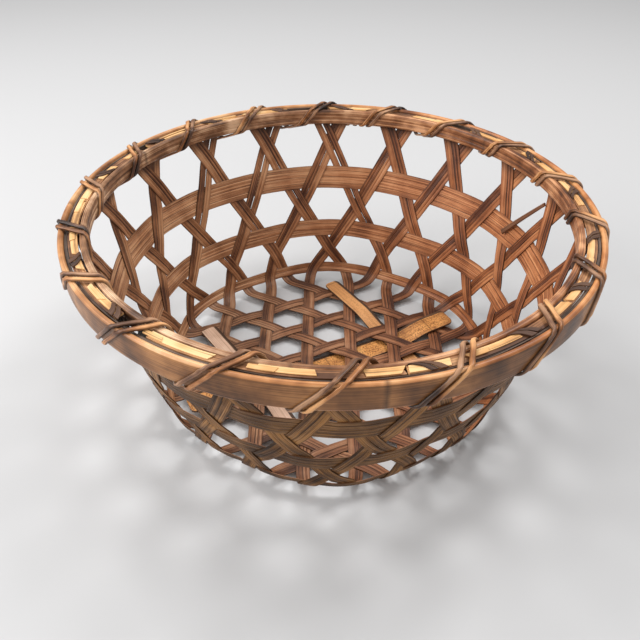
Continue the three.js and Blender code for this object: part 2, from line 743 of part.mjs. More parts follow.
const mainHeading = Math.atan2(cellDeep, cellWide);
const mainRamp = 2 * Math.hypot(cellWide, cellDeep);
const mainMiddle = new THREE.Vector3(-Math.sin(mainHeading), Math.cos(mainHeading), 0)
  .multiplyScalar(mainSlatAside);
addPiece('slat_main', slat(mainMiddle, mainHeading, mainSlatWidth, mainSlatHalfLength,
  mainSlatHalfLength, [{ at: -mainRamp, to: floorLevel }, { at: mainRamp, to: overLevel }]), slatBamboo);
const rightHole = new THREE.Vector3(cellWide, 3 * cellDeep, 0);
addPiece('slat_side_right', slat(rightHole, rightSlat.heading * degree, sideSlatWidth, rightSlat.back,
  rightSlat.front, [{ at: 0, to: tuckedLevel }, { at: rightSlat.comesDown, to: floorLevel }]), slatBamboo);
const leftHole = rightHole.clone().negate();
addPiece('slat_side_left', slat(leftHole, leftSlat.heading * degree, sideSlatWidth, leftSlat.back,
  leftSlat.front, [{ at: 0, to: floorLevel }]), slatBamboo);

export default basket;
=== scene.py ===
# %% [markdown]
# # A round bamboo basket in open hexagon weave
#
# The real basket is woven from split bamboo. Eighteen strips cross the base in three directions, climb
# the flared wall and end inside the rim. Three bands go round, and a double hoop, packed with pale
# filler strips, is bound by a wound lashing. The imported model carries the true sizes, so every piece
# here is made in the same frame, in metres, and stands for the CAD node that it replaces.

# %% The frame
import math

import bpy
import numpy as np
from mathutils import Matrix


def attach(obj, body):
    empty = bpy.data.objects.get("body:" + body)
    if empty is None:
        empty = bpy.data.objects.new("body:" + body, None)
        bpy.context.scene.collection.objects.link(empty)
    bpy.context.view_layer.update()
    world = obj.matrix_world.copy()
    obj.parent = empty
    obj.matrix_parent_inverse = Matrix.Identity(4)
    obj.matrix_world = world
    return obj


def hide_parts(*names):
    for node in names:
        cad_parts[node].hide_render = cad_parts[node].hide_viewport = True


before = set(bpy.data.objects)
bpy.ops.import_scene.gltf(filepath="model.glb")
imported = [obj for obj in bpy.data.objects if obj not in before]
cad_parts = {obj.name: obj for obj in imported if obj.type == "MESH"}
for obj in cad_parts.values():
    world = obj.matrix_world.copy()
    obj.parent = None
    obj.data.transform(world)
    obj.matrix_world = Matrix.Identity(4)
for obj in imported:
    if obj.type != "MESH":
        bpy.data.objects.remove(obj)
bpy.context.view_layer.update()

rng = np.random.default_rng(21)

# %% [markdown]
# ## The woven surface
#
# All the weaving lies on one smooth surface: a flat base, a corner bend, a straight leaning wall and a
# bend to upright inside the rim. Blender's Spin tool could turn that profile into a mesh, but what the
# strips need is to be told where to lie, so the surface is kept as formulas. A place on it is given by
# its run, the distance along the surface from the middle of the base, and its angle round the basket.
# Adding up the four stretches of the profile lets one formula take whole arrays of runs at once.

# %% Sizes of the basket
rim_radius = 0.225
rim_rise = 0.184
wall_foot_radius = 0.157
wall_top_rise = 0.166
corner_radius = 0.014
collar_radius = 0.030
oval_share = 0.005
hex_share = 0.018
strip_width = 0.0112
strip_top_width = 0.0138
strip_thickness = 0.0014
weave_gap = 0.0007
slat_thickness = 0.002
seat_gap = 0.0003
hoop_gap = 0.0005
rim_width = 0.0225
inner_hoop_thickness = 0.0055
filler_drop = 0.0016
filler_thickness = 0.0024

weave_half_height = (strip_thickness + weave_gap) / 2 + strip_thickness / 2
strand_lift = 0.00058      # dry splints lie closer together than the plain solids
slat_stack = 2 * (slat_thickness + seat_gap)
weave_height = slat_stack + weave_half_height
rim_top = weave_height + rim_rise
inner_hoop_face = rim_radius - rim_width
inner_hoop_back = inner_hoop_face + inner_hoop_thickness
collar_face = inner_hoop_back + hoop_gap + weave_half_height
filler_top = rim_top - filler_drop

wall_angle = math.atan2(wall_top_rise, collar_face - wall_foot_radius)
flat_radius = wall_foot_radius - corner_radius * math.tan(wall_angle / 2)
corner_end = flat_radius + corner_radius * wall_angle
corner_top_radius = flat_radius + corner_radius * math.sin(wall_angle)
corner_top_rise = corner_radius * (1 - math.cos(wall_angle))
collar_foot_radius = collar_face - collar_radius * (1 - math.sin(wall_angle))
collar_start = corner_end + (collar_foot_radius - corner_top_radius) / math.cos(wall_angle)
collar_end = collar_start + collar_radius * (math.pi / 2 - wall_angle)
collar_end_rise = (corner_top_rise + (collar_start - corner_end) * math.sin(wall_angle)
                   + collar_radius * math.cos(wall_angle))
strip_end_run = collar_end + rim_rise - filler_drop - filler_thickness - seat_gap - collar_end_rise
print("weave", round(weave_height, 4), "rim top", round(rim_top, 4),
      "strips end at run", round(strip_end_run, 4))

# %% The surface as formulas
foot_band_step = 0.01615     # from the edge of the flat base to the middle of the foot band
middle_band_step = 0.048
upper_band_step = 0.059
top_cross_step = 0.039
foot_band_run = flat_radius + foot_band_step
middle_band_run = foot_band_run + middle_band_step
upper_band_run = middle_band_run + upper_band_step
cross_runs = (foot_band_run + 0.49 * middle_band_step, middle_band_run + 0.448 * upper_band_step,
              upper_band_run + top_cross_step)


def ease(low, high, value):
    """Smooth step from 0 at low to 1 at high."""
    share = np.clip((value - low) / (high - low), 0, 1)
    return share * share * (3 - 2 * share)


def profile_at(run):
    """Radius and rise of the woven surface at each run."""
    turn = np.clip((run - flat_radius) / corner_radius, 0, wall_angle)
    radius = np.minimum(run, flat_radius) + corner_radius * np.sin(turn)
    rise = corner_radius * (1 - np.cos(turn))
    along = np.clip(run - corner_end, 0, collar_start - corner_end)
    radius = radius + along * math.cos(wall_angle)
    rise = rise + along * math.sin(wall_angle)
    turn = wall_angle + np.clip((run - collar_start) / collar_radius, 0, math.pi / 2 - wall_angle)
    radius = radius + collar_radius * (np.sin(turn) - math.sin(wall_angle))
    rise = rise + collar_radius * (math.cos(wall_angle) - np.cos(turn))
    return radius, rise + np.maximum(run - collar_end, 0)


def bulge_at(run, angle):
    """The oval and the six corners grow from the middle of the base and fade out up the wall."""
    shape = oval_share * np.cos(2 * angle) - hex_share * np.cos(6 * angle)
    grow = np.minimum(run / foot_band_run, 1)
    return shape * grow * grow * (1 - ease(foot_band_run, collar_start, run))


def surface_point(run, angle):
    """The point in space for a run and an angle."""
    radius, rise = profile_at(run)
    wide = radius * (1 + bulge_at(run, angle))
    return np.stack([wide * np.cos(angle), wide * np.sin(angle), weave_height + rise + 0 * angle], -1)


def unit(vectors):
    """The same directions, each of length one."""
    return vectors / np.linalg.norm(vectors, axis=-1, keepdims=True)


def surface_frame(run, angle, probe=1e-5):
    """Slopes of the surface along the run and round the basket, and its normal to the inside."""
    turn = probe / wall_foot_radius
    along_run = (surface_point(run + probe, angle) - surface_point(run - probe, angle)) / (2 * probe)
    round_it = (surface_point(run, angle + turn) - surface_point(run, angle - turn)) / (2 * turn)
    return along_run, round_it, unit(np.cross(along_run, round_it))


print("wall foot at", surface_point(np.array(foot_band_run), np.array(0.0)))

# %% [markdown]
# ## Curves through guiding points
#
# A strip isn't straight: it crosses the base in a line, bends at the corner and climbs in a slow spiral.
# A Blender curve could be drawn by hand for each, but eighteen of them would never agree with each
# other. Here each path is a smooth curve through a few guiding points of a flat map, on which run and
# angle are polar coordinates. The Catmull-Rom formula goes through every point and makes no loops.

# %% Smooth curve
def on_map(run, angle):
    """The point of the flat map for a run and an angle."""
    return np.array([run * math.cos(angle), run * math.sin(angle)])


def smooth_curve(points, closed, per_span=40):
    """Centripetal Catmull-Rom curve through points, as a dense row of points."""
    count = len(points)
    rows = []
    for i in range(count if closed else count - 1):
        p1, p2 = points[i], points[(i + 1) % count]
        p0 = points[i - 1] if closed or i > 0 else 2 * p1 - p2
        p3 = points[(i + 2) % count] if closed or i + 2 < count else 2 * p2 - p1
        d0, d1, d2 = (math.sqrt(np.linalg.norm(b - a)) for a, b in ((p0, p1), (p1, p2), (p2, p3)))
        s1 = ((p1 - p0) / d0 - (p2 - p0) / (d0 + d1) + (p2 - p1) / d1) * d1
        s2 = ((p2 - p1) / d1 - (p3 - p1) / (d1 + d2) + (p3 - p2) / d2) * d1
        t = np.arange(per_span)[:, None] / per_span
        rows.append(p1 + s1 * t + (3 * (p2 - p1) - 2 * s1 - s2) * t ** 2
                    + (2 * (p1 - p2) + s1 + s2) * t ** 3)
    rows.append(points[:1] if closed else points[-1:])
    return np.vstack(rows)


hexagon = np.array([on_map(foot_band_run, k * math.pi / 3) for k in range(6)])
print("a closed curve through six points has", len(smooth_curve(hexagon, True)), "points")

# %% [markdown]
# ## Paths on the surface
#
# The map stretches what it shows, so a path is measured again on the real surface. It then answers the
# three things that a strip needs to know: where it is after so many metres, which way it heads there,
# and where a point beside it lies. A point beside the path, lifted off the surface, gives any part of a
# strip.

# %% Path class
sample_step = 0.002


class SurfacePath:
    """A path on the woven surface, kept as evenly spaced points of the flat map."""

    def __init__(self, points, closed):
        self.closed = closed
        dense = smooth_curve(np.array(points), closed)
        reach = np.concatenate([[0], np.cumsum(np.linalg.norm(np.diff(dense, axis=0), axis=1))])
        even = np.linspace(0, reach[-1], math.ceil(reach[-1] / sample_step) + 1)
        self.map = np.stack([np.interp(even, reach, dense[:, k]) for k in (0, 1)], 1)
        place = surface_point(np.hypot(*self.map.T), np.arctan2(self.map[:, 1], self.map[:, 0]))
        self.along = np.concatenate([[0], np.cumsum(np.linalg.norm(np.diff(place, axis=0), axis=1))])
        self.length = self.along[-1]

    def place_at(self, along):
        """Run and angle after each distance along the path."""
        wanted = np.mod(along, self.length) if self.closed else np.asarray(along, float)
        low = np.clip(np.searchsorted(self.along, wanted, "right") - 1, 0, len(self.along) - 2)
        share = (wanted - self.along[low]) / (self.along[low + 1] - self.along[low])
        spot = self.map[low] + share[..., None] * (self.map[low + 1] - self.map[low])
        return np.hypot(spot[..., 0], spot[..., 1]), np.arctan2(spot[..., 1], spot[..., 0])

    def direction_at(self, along):
        half = sample_step / 2
        ahead, behind = (surface_point(*self.place_at(along + step)) for step in (half, -half))
        return unit(ahead - behind)

    def beside(self, along, aside):
        """Points on the surface beside the path, and the surface's normals there."""
        run, angle = self.place_at(along)
        along_run, round_it, normal = surface_frame(run, angle)
        side = unit(np.cross(normal, self.direction_at(along)))
        side_run = run + aside * (side * along_run).sum(-1) / (along_run ** 2).sum(-1)
        side_angle = angle + aside * (side * round_it).sum(-1) / (round_it ** 2).sum(-1)
        return surface_point(side_run, side_angle), surface_frame(side_run, side_angle)[2]


sample_path = SurfacePath(hexagon, True)
print("that curve is", round(sample_path.length, 3), "m long on the real surface")

# %% [markdown]
# ## The lanes of the base
#
# In the base the strips lie in three families of parallel lanes, which leave the open hexagons between
# them. A weaver starts with six strips in each of three directions, and two nested loops do the same.
# A strip is a small dictionary, which takes up its path and its crossings in the steps that follow.

# %% Lanes
family_angles = (0, 62.4, 117.6)
family_spacings = [share * foot_band_run for share in (0.2753, 0.2571, 0.2571)]
lane_shares = (-2.5, -1.5, -0.5, 0.5, 1.5, 2.5)

strips = []
for family, family_angle in enumerate(family_angles):
    for lane, lane_share in enumerate(lane_shares):
        offset = lane_share * family_spacings[family]
        facing = math.radians(family_angle) + (math.pi if offset < 0 else 0)
        strips.append({"family": family, "lane": lane, "facing": facing, "reach": abs(offset),
                       "name": f"{('upright', 'falling', 'rising')[family]}_{lane + 1}"})
print("lanes:", ", ".join(strip["name"] for strip in strips))

# %% [markdown]
# ## Strip ends and their partners
#
# Above the foot band each strip end meets a partner that leans the other way, and the pairs space
# themselves evenly round the wall, one crossing for each bay of the lashing. Each end looks for the
# nearest end that leans back towards it, and the even place nearest to their middle becomes their goal.
# How far they start from it is kept, because a weaver evens it out slowly on the way up.

# %% Ends and partners
bays = 18
pitch = 2 * math.pi / bays


def foot_angle(strip, turn_sign):
    """Where a strip end, straight in the base, meets the foot band."""
    angle = strip["facing"] + turn_sign * math.acos(strip["reach"] / foot_band_run)
    for _ in range(6):
        wide = float(profile_at(foot_band_run)[0] * (1 + bulge_at(foot_band_run, angle)))
        angle = strip["facing"] + turn_sign * math.acos(strip["reach"] / wide)
    return angle


ends = [{"strip": strip, "turn": turn, "foot": foot_angle(strip, turn)}
        for strip in strips for turn in (1, -1)]
backward = [end for end in ends if end["turn"] < 0]
for end in (one for one in ends if one["turn"] > 0):
    partner = min(backward, key=lambda other: (other["foot"] - end["foot"]) % (2 * math.pi))
    spread = ((partner["foot"] - end["foot"]) % (2 * math.pi)) / 2
    natural = end["foot"] + spread
    even = round((natural - math.pi / 2) / pitch) * pitch + math.pi / 2
    end.update(shift=natural - even, spread=spread, even=even)
    partner.update(shift=natural - even, spread=spread,
                   even=even + 2 * math.pi * round((partner["foot"] - even) / (2 * math.pi)))
print("largest shift of a pair:", round(math.degrees(max(abs(end["shift"]) for end in ends)), 1), "degrees")

# %% [markdown]
# ## Paths of the strips
#
# A strip end climbs by a quarter of a bay for each row of crossings. The keep values say what share of
# its uneven start is left at each row. On the base the path is straight in plan, so its points are
# looked up on the surface by halving an interval until the plan radius fits.

# %% Strip paths
cross_keep = (0.7, 0.2, 0)
band_keep = (0.4, 0.1)
foot_keep = 0.9
close_pair_keep, wide_pair_keep = 0.6, 0.45


def climb_points(end):
    """Guiding points of a strip end from the foot band up to the rim."""
    step = end["turn"] * pitch / 4
    pair_keep = close_pair_keep if end["spread"] < pitch / 4 else wide_pair_keep
    foot = (end["even"] - step + foot_keep * end["shift"]
            - end["turn"] * pair_keep * (end["spread"] - pitch / 4))
    last = 4 + (strip_end_run - cross_runs[2]) / (cross_runs[2] - upper_band_run)
    stages = ((cross_runs[0], 0, cross_keep[0]), (middle_band_run, 1, band_keep[0]),
              (cross_runs[1], 2, cross_keep[1]), (upper_band_run, 3, band_keep[1]),
              (cross_runs[2], 4, cross_keep[2]), (strip_end_run, last, 0))
    return [on_map(foot_band_run, foot)] + [
        on_map(run, end["even"] + keep * end["shift"] + step * rows) for run, rows, keep in stages]


def run_of_plan_point(x, y):
    """The run at which a point of the base, given in plan, lies on the surface."""
    angle, reach = math.atan2(y, x), math.hypot(x, y)
    low, high = 0, corner_end
    for _ in range(30):
        middle = (low + high) / 2
        wide = float(profile_at(middle)[0] * (1 + bulge_at(middle, angle)))
        low, high = (middle, high) if wide < reach else (low, middle)
    return low


def strip_path(strip, base_pieces=6):
    """A whole strip: down one wall, straight across the base and up the other wall."""
    first, last = (climb_points(next(end for end in ends if end["strip"] is strip and end["turn"] == turn))
                   for turn in (1, -1))
    toward = np.array([math.cos(strip["facing"]), math.sin(strip["facing"])])
    across = np.array([-toward[1], toward[0]])
    half = math.sqrt(flat_radius ** 2 - strip["reach"] ** 2)
    base = []
    for i in range(base_pieces + 1):
        x, y = toward * strip["reach"] + across * half * (1 - 2 * i / base_pieces)
        base.append(on_map(run_of_plan_point(x, y), math.atan2(y, x)))
    return SurfacePath(first[::-1] + base + last, False)


def strip_width_at(run):
    """Strips are a little wider up the wall than in the base."""
    return strip_width + ease(foot_band_run, upper_band_run, run) * (strip_top_width - strip_width)


for strip in strips:
    strip["path"] = strip_path(strip)
    strip["width_at"] = strip_width_at
print(len(strips), "strips of about", round(strips[2]["path"].length, 3), "m")

# %% [markdown]
# ## Paths of the bands
#
# A band keeps one run all the way round, so its guiding points lie on a circle of the map. The surface
# gives it the basket's slightly six-sided shape.

# %% Band paths
band_sizes = (("foot", foot_band_run, 0.0115), ("middle", middle_band_run, 0.019),
              ("upper", upper_band_run, 0.025))
band_points = 72

bands = [{"name": name, "run": run, "width": width} for name, run, width in band_sizes]
for band in bands:
    circle = [on_map(band["run"], 2 * math.pi * i / band_points) for i in range(band_points)]
    band["path"] = SurfacePath(circle, True)
    band["width_at"] = lambda run, width=band["width"]: width + 0 * run
    print("the", band["name"], "band is", round(band["path"].length, 3), "m round")

# %% [markdown]
# ## Where paths cross
#
# Every crossing of two paths is found on the flat map, where a path is a row of short straight pieces.
# Two pieces cross where both shares come out between 0 and 1, and arrays test all pairs of pieces at
# once. At a crossing each of the two notes how wide the other is, at what slant it comes, and whether
# it passes over or under.

# %% Crossings
cross_margin = 0.00075


def flat_cross(a, b):
    """The area that two directions of the map span, which is zero where they are parallel."""
    return a[..., 0] * b[..., 1] - a[..., 1] * b[..., 0]


def crossings_of(first, second):
    """Both distances along, and the run, of every crossing of two paths."""
    p, q = first["path"].map[:-1], second["path"].map[:-1]
    r, s = np.diff(first["path"].map, axis=0), np.diff(second["path"].map, axis=0)
    between = q[None] - p[:, None]
    area = flat_cross(r[:, None], s[None])
    area = np.where(area == 0, np.nan, area)
    t = flat_cross(between, s[None]) / area
    u = flat_cross(between, r[:, None]) / area
    hits = np.argwhere((t >= 0) & (t < 1) & (u >= 0) & (u < 1))
    a, b = first["path"].along, second["path"].along
    return [(a[i] + t[i, j] * (a[i + 1] - a[i]), b[j] + u[i, j] * (b[j + 1] - b[j]), math.hypot(*p[i]))
            for i, j in hits]


def turns_forward(path, along):
    """True where a strip, followed outward at this place, turns to a larger angle."""
    (run_a, angle_a), (run_b, angle_b) = (path.place_at(along + d) for d in (-sample_step, sample_step))
    return ((angle_b - angle_a + math.pi) % (2 * math.pi) - math.pi) * (run_b - run_a) > 0


def add_crossing(lower, lower_along, upper, upper_along):
    """Notes a crossing in both pieces, seen from each of them."""
    for piece, along, other, other_along, level in ((lower, lower_along, upper, upper_along, -1),
                                                    (upper, upper_along, lower, lower_along, 1)):
        direction = piece["path"].direction_at(along)
        run, angle = piece["path"].place_at(along)
        side = unit(np.cross(surface_frame(run, angle)[2], direction))
        other_way = other["path"].direction_at(other_along)
        sine, cosine = float(other_way @ side), float(other_way @ direction)
        other_width = float(other["width_at"](other["path"].place_at(other_along)[0]))
        piece.setdefault("crossings", []).append({
            "along": float(along), "level": level, "slant": cosine / sine,
            "reach": (other_width / 2 + cross_margin) / abs(sine), "width": float(piece["width_at"](run))})


print("the foot band meets strip 1 at", len(crossings_of(strips[0], bands[0])), "places")

# %% [markdown]
# ## Which one lies over
#
# What makes it a weave is the order at each crossing. In the base each family lies over the one before
# it. On the wall the strips that lean forward lie inside the others, and a band runs inside the forward
# strips and outside the others. These rules decide them all, so no list of crossings is typed by hand.

# %% Order of the crossings
for i, first in enumerate(strips):
    for second in strips[i + 1:]:
        for along_a, along_b, run in crossings_of(first, second):
            over = turns_forward(first["path"], along_a)
            if run < foot_band_run:
                over = (first["family"] - second["family"]) % 3 == 1
            pair = (second, along_b, first, along_a) if over else (first, along_a, second, along_b)
            add_crossing(*pair)
    for band in bands:
        for along_a, along_b, run in crossings_of(first, band):
            over = turns_forward(first["path"], along_a)
            pair = (first, along_a, band, along_b) if over else (band, along_b, first, along_a)
            add_crossing(*pair)
for piece in strips + bands:
    piece["crossings"].sort(key=lambda one: one["along"])
print("crossings on one strip and one band:", len(strips[0]["crossings"]), len(bands[0]["crossings"]))

# %% [markdown]
# ## Rising and dipping
#
# A strip lies level for the width of whatever it crosses and ramps smoothly in between. Each lane
# across its width has its own ramps, because the crossings are slanted. Where two crossings come close
# together, the strip still keeps a short ramp, as springy bamboo does.

# %% Levels
least_ramp = 0.0016


def level_at(piece, share, along):
    """How high a lane of a piece lies at each distance along: -1 under, 1 over."""
    starts, stops, levels = [], [], []
    # A level stretch for each crossing, shifted along where the other piece comes at a slant.
    for one in piece["crossings"]:
        middle = one["along"] + share * one["width"] * one["slant"]
        starts.append(middle - one["reach"])
        stops.append(middle + one["reach"])
        levels.append(one["level"])
    closed, length = piece["path"].closed, piece["path"].length
    if closed:
        starts = [starts[-1] - length] + starts + [starts[0] + length]
        stops = [stops[-1] - length] + stops + [stops[0] + length]
        levels = [levels[-1]] + levels + [levels[0]]
    for i in range(len(starts) - 1):
        if starts[i + 1] - stops[i] < least_ramp:
            middle = (starts[i + 1] + stops[i]) / 2
            stops[i], starts[i + 1] = middle - least_ramp / 2, middle + least_ramp / 2
    knots = np.array([starts, stops]).T.ravel()
    heights = np.repeat(levels, 2)
    wanted = np.mod(along, length) if closed else along
    low = np.clip(np.searchsorted(knots, wanted, "right") - 1, 0, len(knots) - 2)
    share_up = (wanted - knots[low]) / (knots[low + 1] - knots[low])
    return heights[low] + (heights[low + 1] - heights[low]) * ease(0, 1, share_up)


quarter_ways = np.linspace(0, strips[0]["path"].length, 5)
print("levels at the quarters of a strip:", np.round(level_at(strips[0], 0, quarter_ways), 2))

# %% [markdown]
# ## Meshes from rings
#
# Nearly every piece is a long thin thing with much the same section all along. Blender could
# sweep a bevel shape along a curve, but these strips twist, widen and taper on the way, so one helper
# joins rings of points into tubes. It also lays the grain map: one coordinate runs along the fibres and
# the other round the section, both in metres, so that a finish can draw fibres at their true size on
# any piece. A value for each point says how dark it is: painted shade along edges, gaps and grooves,
# and the dark lines of joints.

# %% Bundle of tubes
piece_apart = 0.1   # the grain maps of two tubes lie this far apart


class Bundle:
    """Collects tubes and makes one mesh of them."""

    def __init__(self):
        self.points, self.faces, self.grain, self.kinds, self.shade_and_marks = [], [], [], [], []
        self.total = 0
        self.tubes = 0

    def tube(self, rings, along, kinds=0, closed=False, shade_and_marks=0.0):
        """Joins rings that lie at distances along. kinds picks a material for each side of the section."""
        rows, sides = rings.shape[:2]
        # Distances round the middle ring are the second coordinate of the grain map.
        outline = rings[rows // 2]
        around = np.concatenate([[0], np.cumsum(np.linalg.norm(np.roll(outline, -1, 0) - outline, axis=1))])
        around = around + self.tubes * piece_apart
        self.tubes += 1
        # A four-cornered face joins two neighbours on one ring to the same two on the next.
        index = np.arange(rows * sides).reshape(rows, sides)
        right = np.roll(index, -1, 1)
        spans = rows if closed else rows - 1
        after, after_right = np.roll(index, -1, 0), np.roll(right, -1, 0)
        quads = np.stack([index[:spans], right[:spans], after_right[:spans], after[:spans]], -1)
        quads = quads.reshape(-1, 4)
        u_low = np.repeat(along[:spans], sides)
        u_high = np.repeat(along[1:spans + 1], sides)
        v_low = np.tile(around[:-1], spans)
        v_high = np.tile(around[1:], spans)
        grain = np.stack([u_low, v_low, u_low, v_high, u_high, v_high, u_high, v_low], -1).reshape(-1, 4, 2)
        # The volume that the faces enclose tells which way round they have to go to face outward.
        flat = rings.reshape(-1, 3)
        corner = flat[quads] - flat.mean(0)
        volume = (corner[:, 0] * np.cross(corner[:, 1], corner[:, 2])).sum()
        volume += (corner[:, 0] * np.cross(corner[:, 2], corner[:, 3])).sum()
        step = 1 if volume > 0 else -1
        self.points.append(flat)
        self.shade_and_marks.append(np.broadcast_to(shade_and_marks, (rows, sides)).ravel())
        self.faces += (quads[:, ::step] + self.total).tolist()
        self.grain.append(grain[:, ::step].reshape(-1, 2))
        self.kinds.append(np.tile(np.broadcast_to(kinds, sides), spans))
        if not closed:
            for row, turn in ((0, -step), (rows - 1, step)):
                self.faces.append((index[row][::turn] + self.total).tolist())
                self.grain.append(np.stack([np.full(sides, along[row]), around[:-1]], -1)[::turn])
                self.kinds.append([0])
        self.total += rows * sides

    def make(self, name, materials, sharp=35):
        """One piece of all the tubes, with edges sharper than the given degrees kept crisp."""
        mesh = bpy.data.meshes.new(name)
        mesh.from_pydata(np.vstack(self.points), [], self.faces)
        layer = mesh.uv_layers.new(name="grain")
        layer.data.foreach_set("uv", np.vstack(self.grain).ravel())
        mesh.polygons.foreach_set("material_index", np.concatenate(self.kinds).astype(np.int32))
        mesh.polygons.foreach_set("use_smooth", np.ones(len(mesh.polygons), bool))
        mesh.set_sharp_from_angle(angle=math.radians(sharp))
        edge_shade_layer = mesh.attributes.new("edge shade and marks", "FLOAT", "POINT")
        edge_shade_layer.data.foreach_set("value", np.concatenate(self.shade_and_marks).astype(np.float32))
        for material in materials:
            mesh.materials.append(material)
        mesh.update()
        piece = bpy.data.objects.new(name, mesh)
        bpy.context.scene.collection.objects.link(piece)
        print(name, "has", self.tubes, "tubes and", len(mesh.polygons), "faces")
        return piece


# %% [markdown]
# ## Sections and rings
#
# Hoops, fillers, slats and tips all have a box section with rounded corners, so one helper gives its
# points. A second one carries sections of radius and height to their places round the basket.

# %% Section helpers
def rounded_outline(width, height, rounding, corner_points=3, longest=1.0):
    """Points round a box with rounded corners, centred on zero, with long sides split."""
    corners = []
    for sign_x, sign_y, start in ((1, 1, 0), (-1, 1, 90), (-1, -1, 180), (1, -1, 270)):
        for turn in np.radians(start + np.linspace(0, 90, corner_points)):
            corners.append((sign_x * (width / 2 - rounding) + rounding * math.cos(turn),
                            sign_y * (height / 2 - rounding) + rounding * math.sin(turn)))
    points = []
    for here, after in zip(corners, corners[1:] + corners[:1]):
        pieces = max(1, math.ceil(math.dist(here, after) / longest))
        points += [tuple(np.array(here) + (np.array(after) - here) * k / pieces) for k in range(pieces)]
    return np.array(points)


def round_the_rim(angles, section):
    """Rings in space from sections of radius and height at angles round the basket."""
    radius, height = section[..., 0], section[..., 1]
    if np.ndim(angles) == 1:
        angles = angles[:, None]
    return np.stack([radius * np.cos(angles), radius * np.sin(angles), height], -1)


print("a rounded box section has", len(rounded_outline(1, 1, 0.1)), "points")

# %% [markdown]
# ## Finishes
#
# All of it is bamboo, but the pieces have aged in different ways: strips are red brown on their inner
# side and olive tan on the outer skin, hoops have a hard glossy skin, fillers are pale where they were
# freshly split, and slats are golden. The fibres are the same everywhere, so one node group draws them
# from the grain map and each finish gives it its own colours and strengths.
#
# A node group is a small machine that several materials share, and its named inputs are what each of
# them can turn up or down. This one takes three browns and a strength for each thing that marks, tints
# or ages bamboo, and for the painted shade below the rim. It puts out a colour, a value that follows the
# fibres, and a height for the bump.

# %% Sockets of the grain group
def new_group(name, inputs, outputs):
    """An empty node group with its sockets, and its input and output nodes."""
    group = bpy.data.node_groups.new(name, "ShaderNodeTree")
    for label, kind, value in inputs:
        group.interface.new_socket(label, in_out="INPUT", socket_type=kind).default_value = value
    for label, kind in outputs:
        group.interface.new_socket(label, in_out="OUTPUT", socket_type=kind)
    return group, group.nodes.new("NodeGroupInput"), group.nodes.new("NodeGroupOutput")


grain_group, given, gives = new_group("bamboo grain", [
    ("Dark", "NodeSocketColor", (0.1, 0.04, 0.02, 1)),
    ("Middle", "NodeSocketColor", (0.25, 0.1, 0.05, 1)),
    ("Light", "NodeSocketColor", (0.4, 0.2, 0.1, 1)),
    ("Fibres per metre", "NodeSocketFloat", 2200),
    ("Fibre strength", "NodeSocketFloat", 0.5),
    ("Splint strength", "NodeSocketFloat", 0.4),
    ("Patch strength", "NodeSocketFloat", 0.3),
    ("Streak strength", "NodeSocketFloat", 1.5),
    ("Speckle", "NodeSocketFloat", 0.0),
    ("Rim shade", "NodeSocketFloat", 0.0),
    ("Weathering", "NodeSocketFloat", 0.0),
    ("Base dulling", "NodeSocketFloat", 0.0),
    ("Cracks", "NodeSocketFloat", 0.5),
    ("Seed", "NodeSocketFloat", 0.0),
], [("Colour", "NodeSocketColor"), ("Fibres", "NodeSocketFloat"), ("Height", "NodeSocketFloat")])
g = grain_group
print("the grain group has", len(g.interface.items_tree), "sockets")

# %% [markdown]
# ## Reading the grain map
#
# Nodes are wired by short helpers, which take either another node's output or a plain value for each
# socket. The first nodes read the grain map. A tube's number is the whole part of its coordinate round
# the section, because the maps lie a fixed step apart, and a random value from it makes one splint
# lighter than its neighbour, as on the real strips.

# %% Node helpers and the grain map
tube_shift = 7.31     # how far each tube's noise lies from the next one's


def feed(tree, socket, value):
    """Links a node's output to a socket, or types a plain value into it."""
    if isinstance(value, bpy.types.NodeSocket):
        tree.links.new(value, socket)
    else:
        socket.default_value = value


def add_node(tree, kind, inputs=None, **settings):
    """A node with its settings, and with its input sockets fed by name or number."""
    node = tree.nodes.new(kind)
    for key, value in settings.items():
        setattr(node, key, value)
    for key, value in (inputs or {}).items():
        feed(tree, node.inputs[key], value)
    return node


def maths(tree, operation, *values, clamp=False):
    node = add_node(tree, "ShaderNodeMath", operation=operation, use_clamp=clamp)
    for socket, value in zip(node.inputs, values):
        feed(tree, socket, value)
    return node.outputs[0]


def blend_colours(tree, share, first, second, blend="MIX"):
    """A Mix node set to colours, whose two colour sockets are numbers 6 and 7."""
    node = add_node(tree, "ShaderNodeMix", data_type="RGBA", blend_type=blend)
    for key, value in (("Factor", share), (6, first), (7, second)):
        feed(tree, node.inputs[key], value)
    return node.outputs[2]


grain_map = add_node(g, "ShaderNodeUVMap", uv_map="grain")
split = add_node(g, "ShaderNodeSeparateXYZ", {0: grain_map.outputs[0]})
along_u, across_v = split.outputs[0], split.outputs[1]
tube_number = maths(g, "FLOOR", maths(g, "DIVIDE", across_v, piece_apart))
place = add_node(g, "ShaderNodeTexCoord").outputs["Object"]
apart = maths(g, "ADD", maths(g, "MULTIPLY", tube_number, tube_shift), given.outputs["Seed"])
tube_tone = add_node(g, "ShaderNodeTexWhiteNoise", {"W": apart}, noise_dimensions="1D").outputs["Value"]
print("reading the grain map takes", len(g.nodes), "nodes")

# %% [markdown]
# ## Fibres and tones
#
# Stretching noise a hundred times along the fibres turns it into fine lines, and a wider and slower
# noise gives soft streaks. With the patches and each tube's own value they choose a tone between the
# dark, the middle and the light brown.

# %% Fibres and tones
def stretched_noise(along_scale, across_scale, detail, rough=0.6):
    """Noise drawn out along the fibres."""
    vector = add_node(g, "ShaderNodeCombineXYZ", {
        0: maths(g, "MULTIPLY", along_u, along_scale),
        1: maths(g, "MULTIPLY", across_v, across_scale),
        2: apart})
    return add_node(g, "ShaderNodeTexNoise", {
        "Vector": vector.outputs[0], "Scale": 1.0, "Detail": detail, "Roughness": rough}).outputs[0]


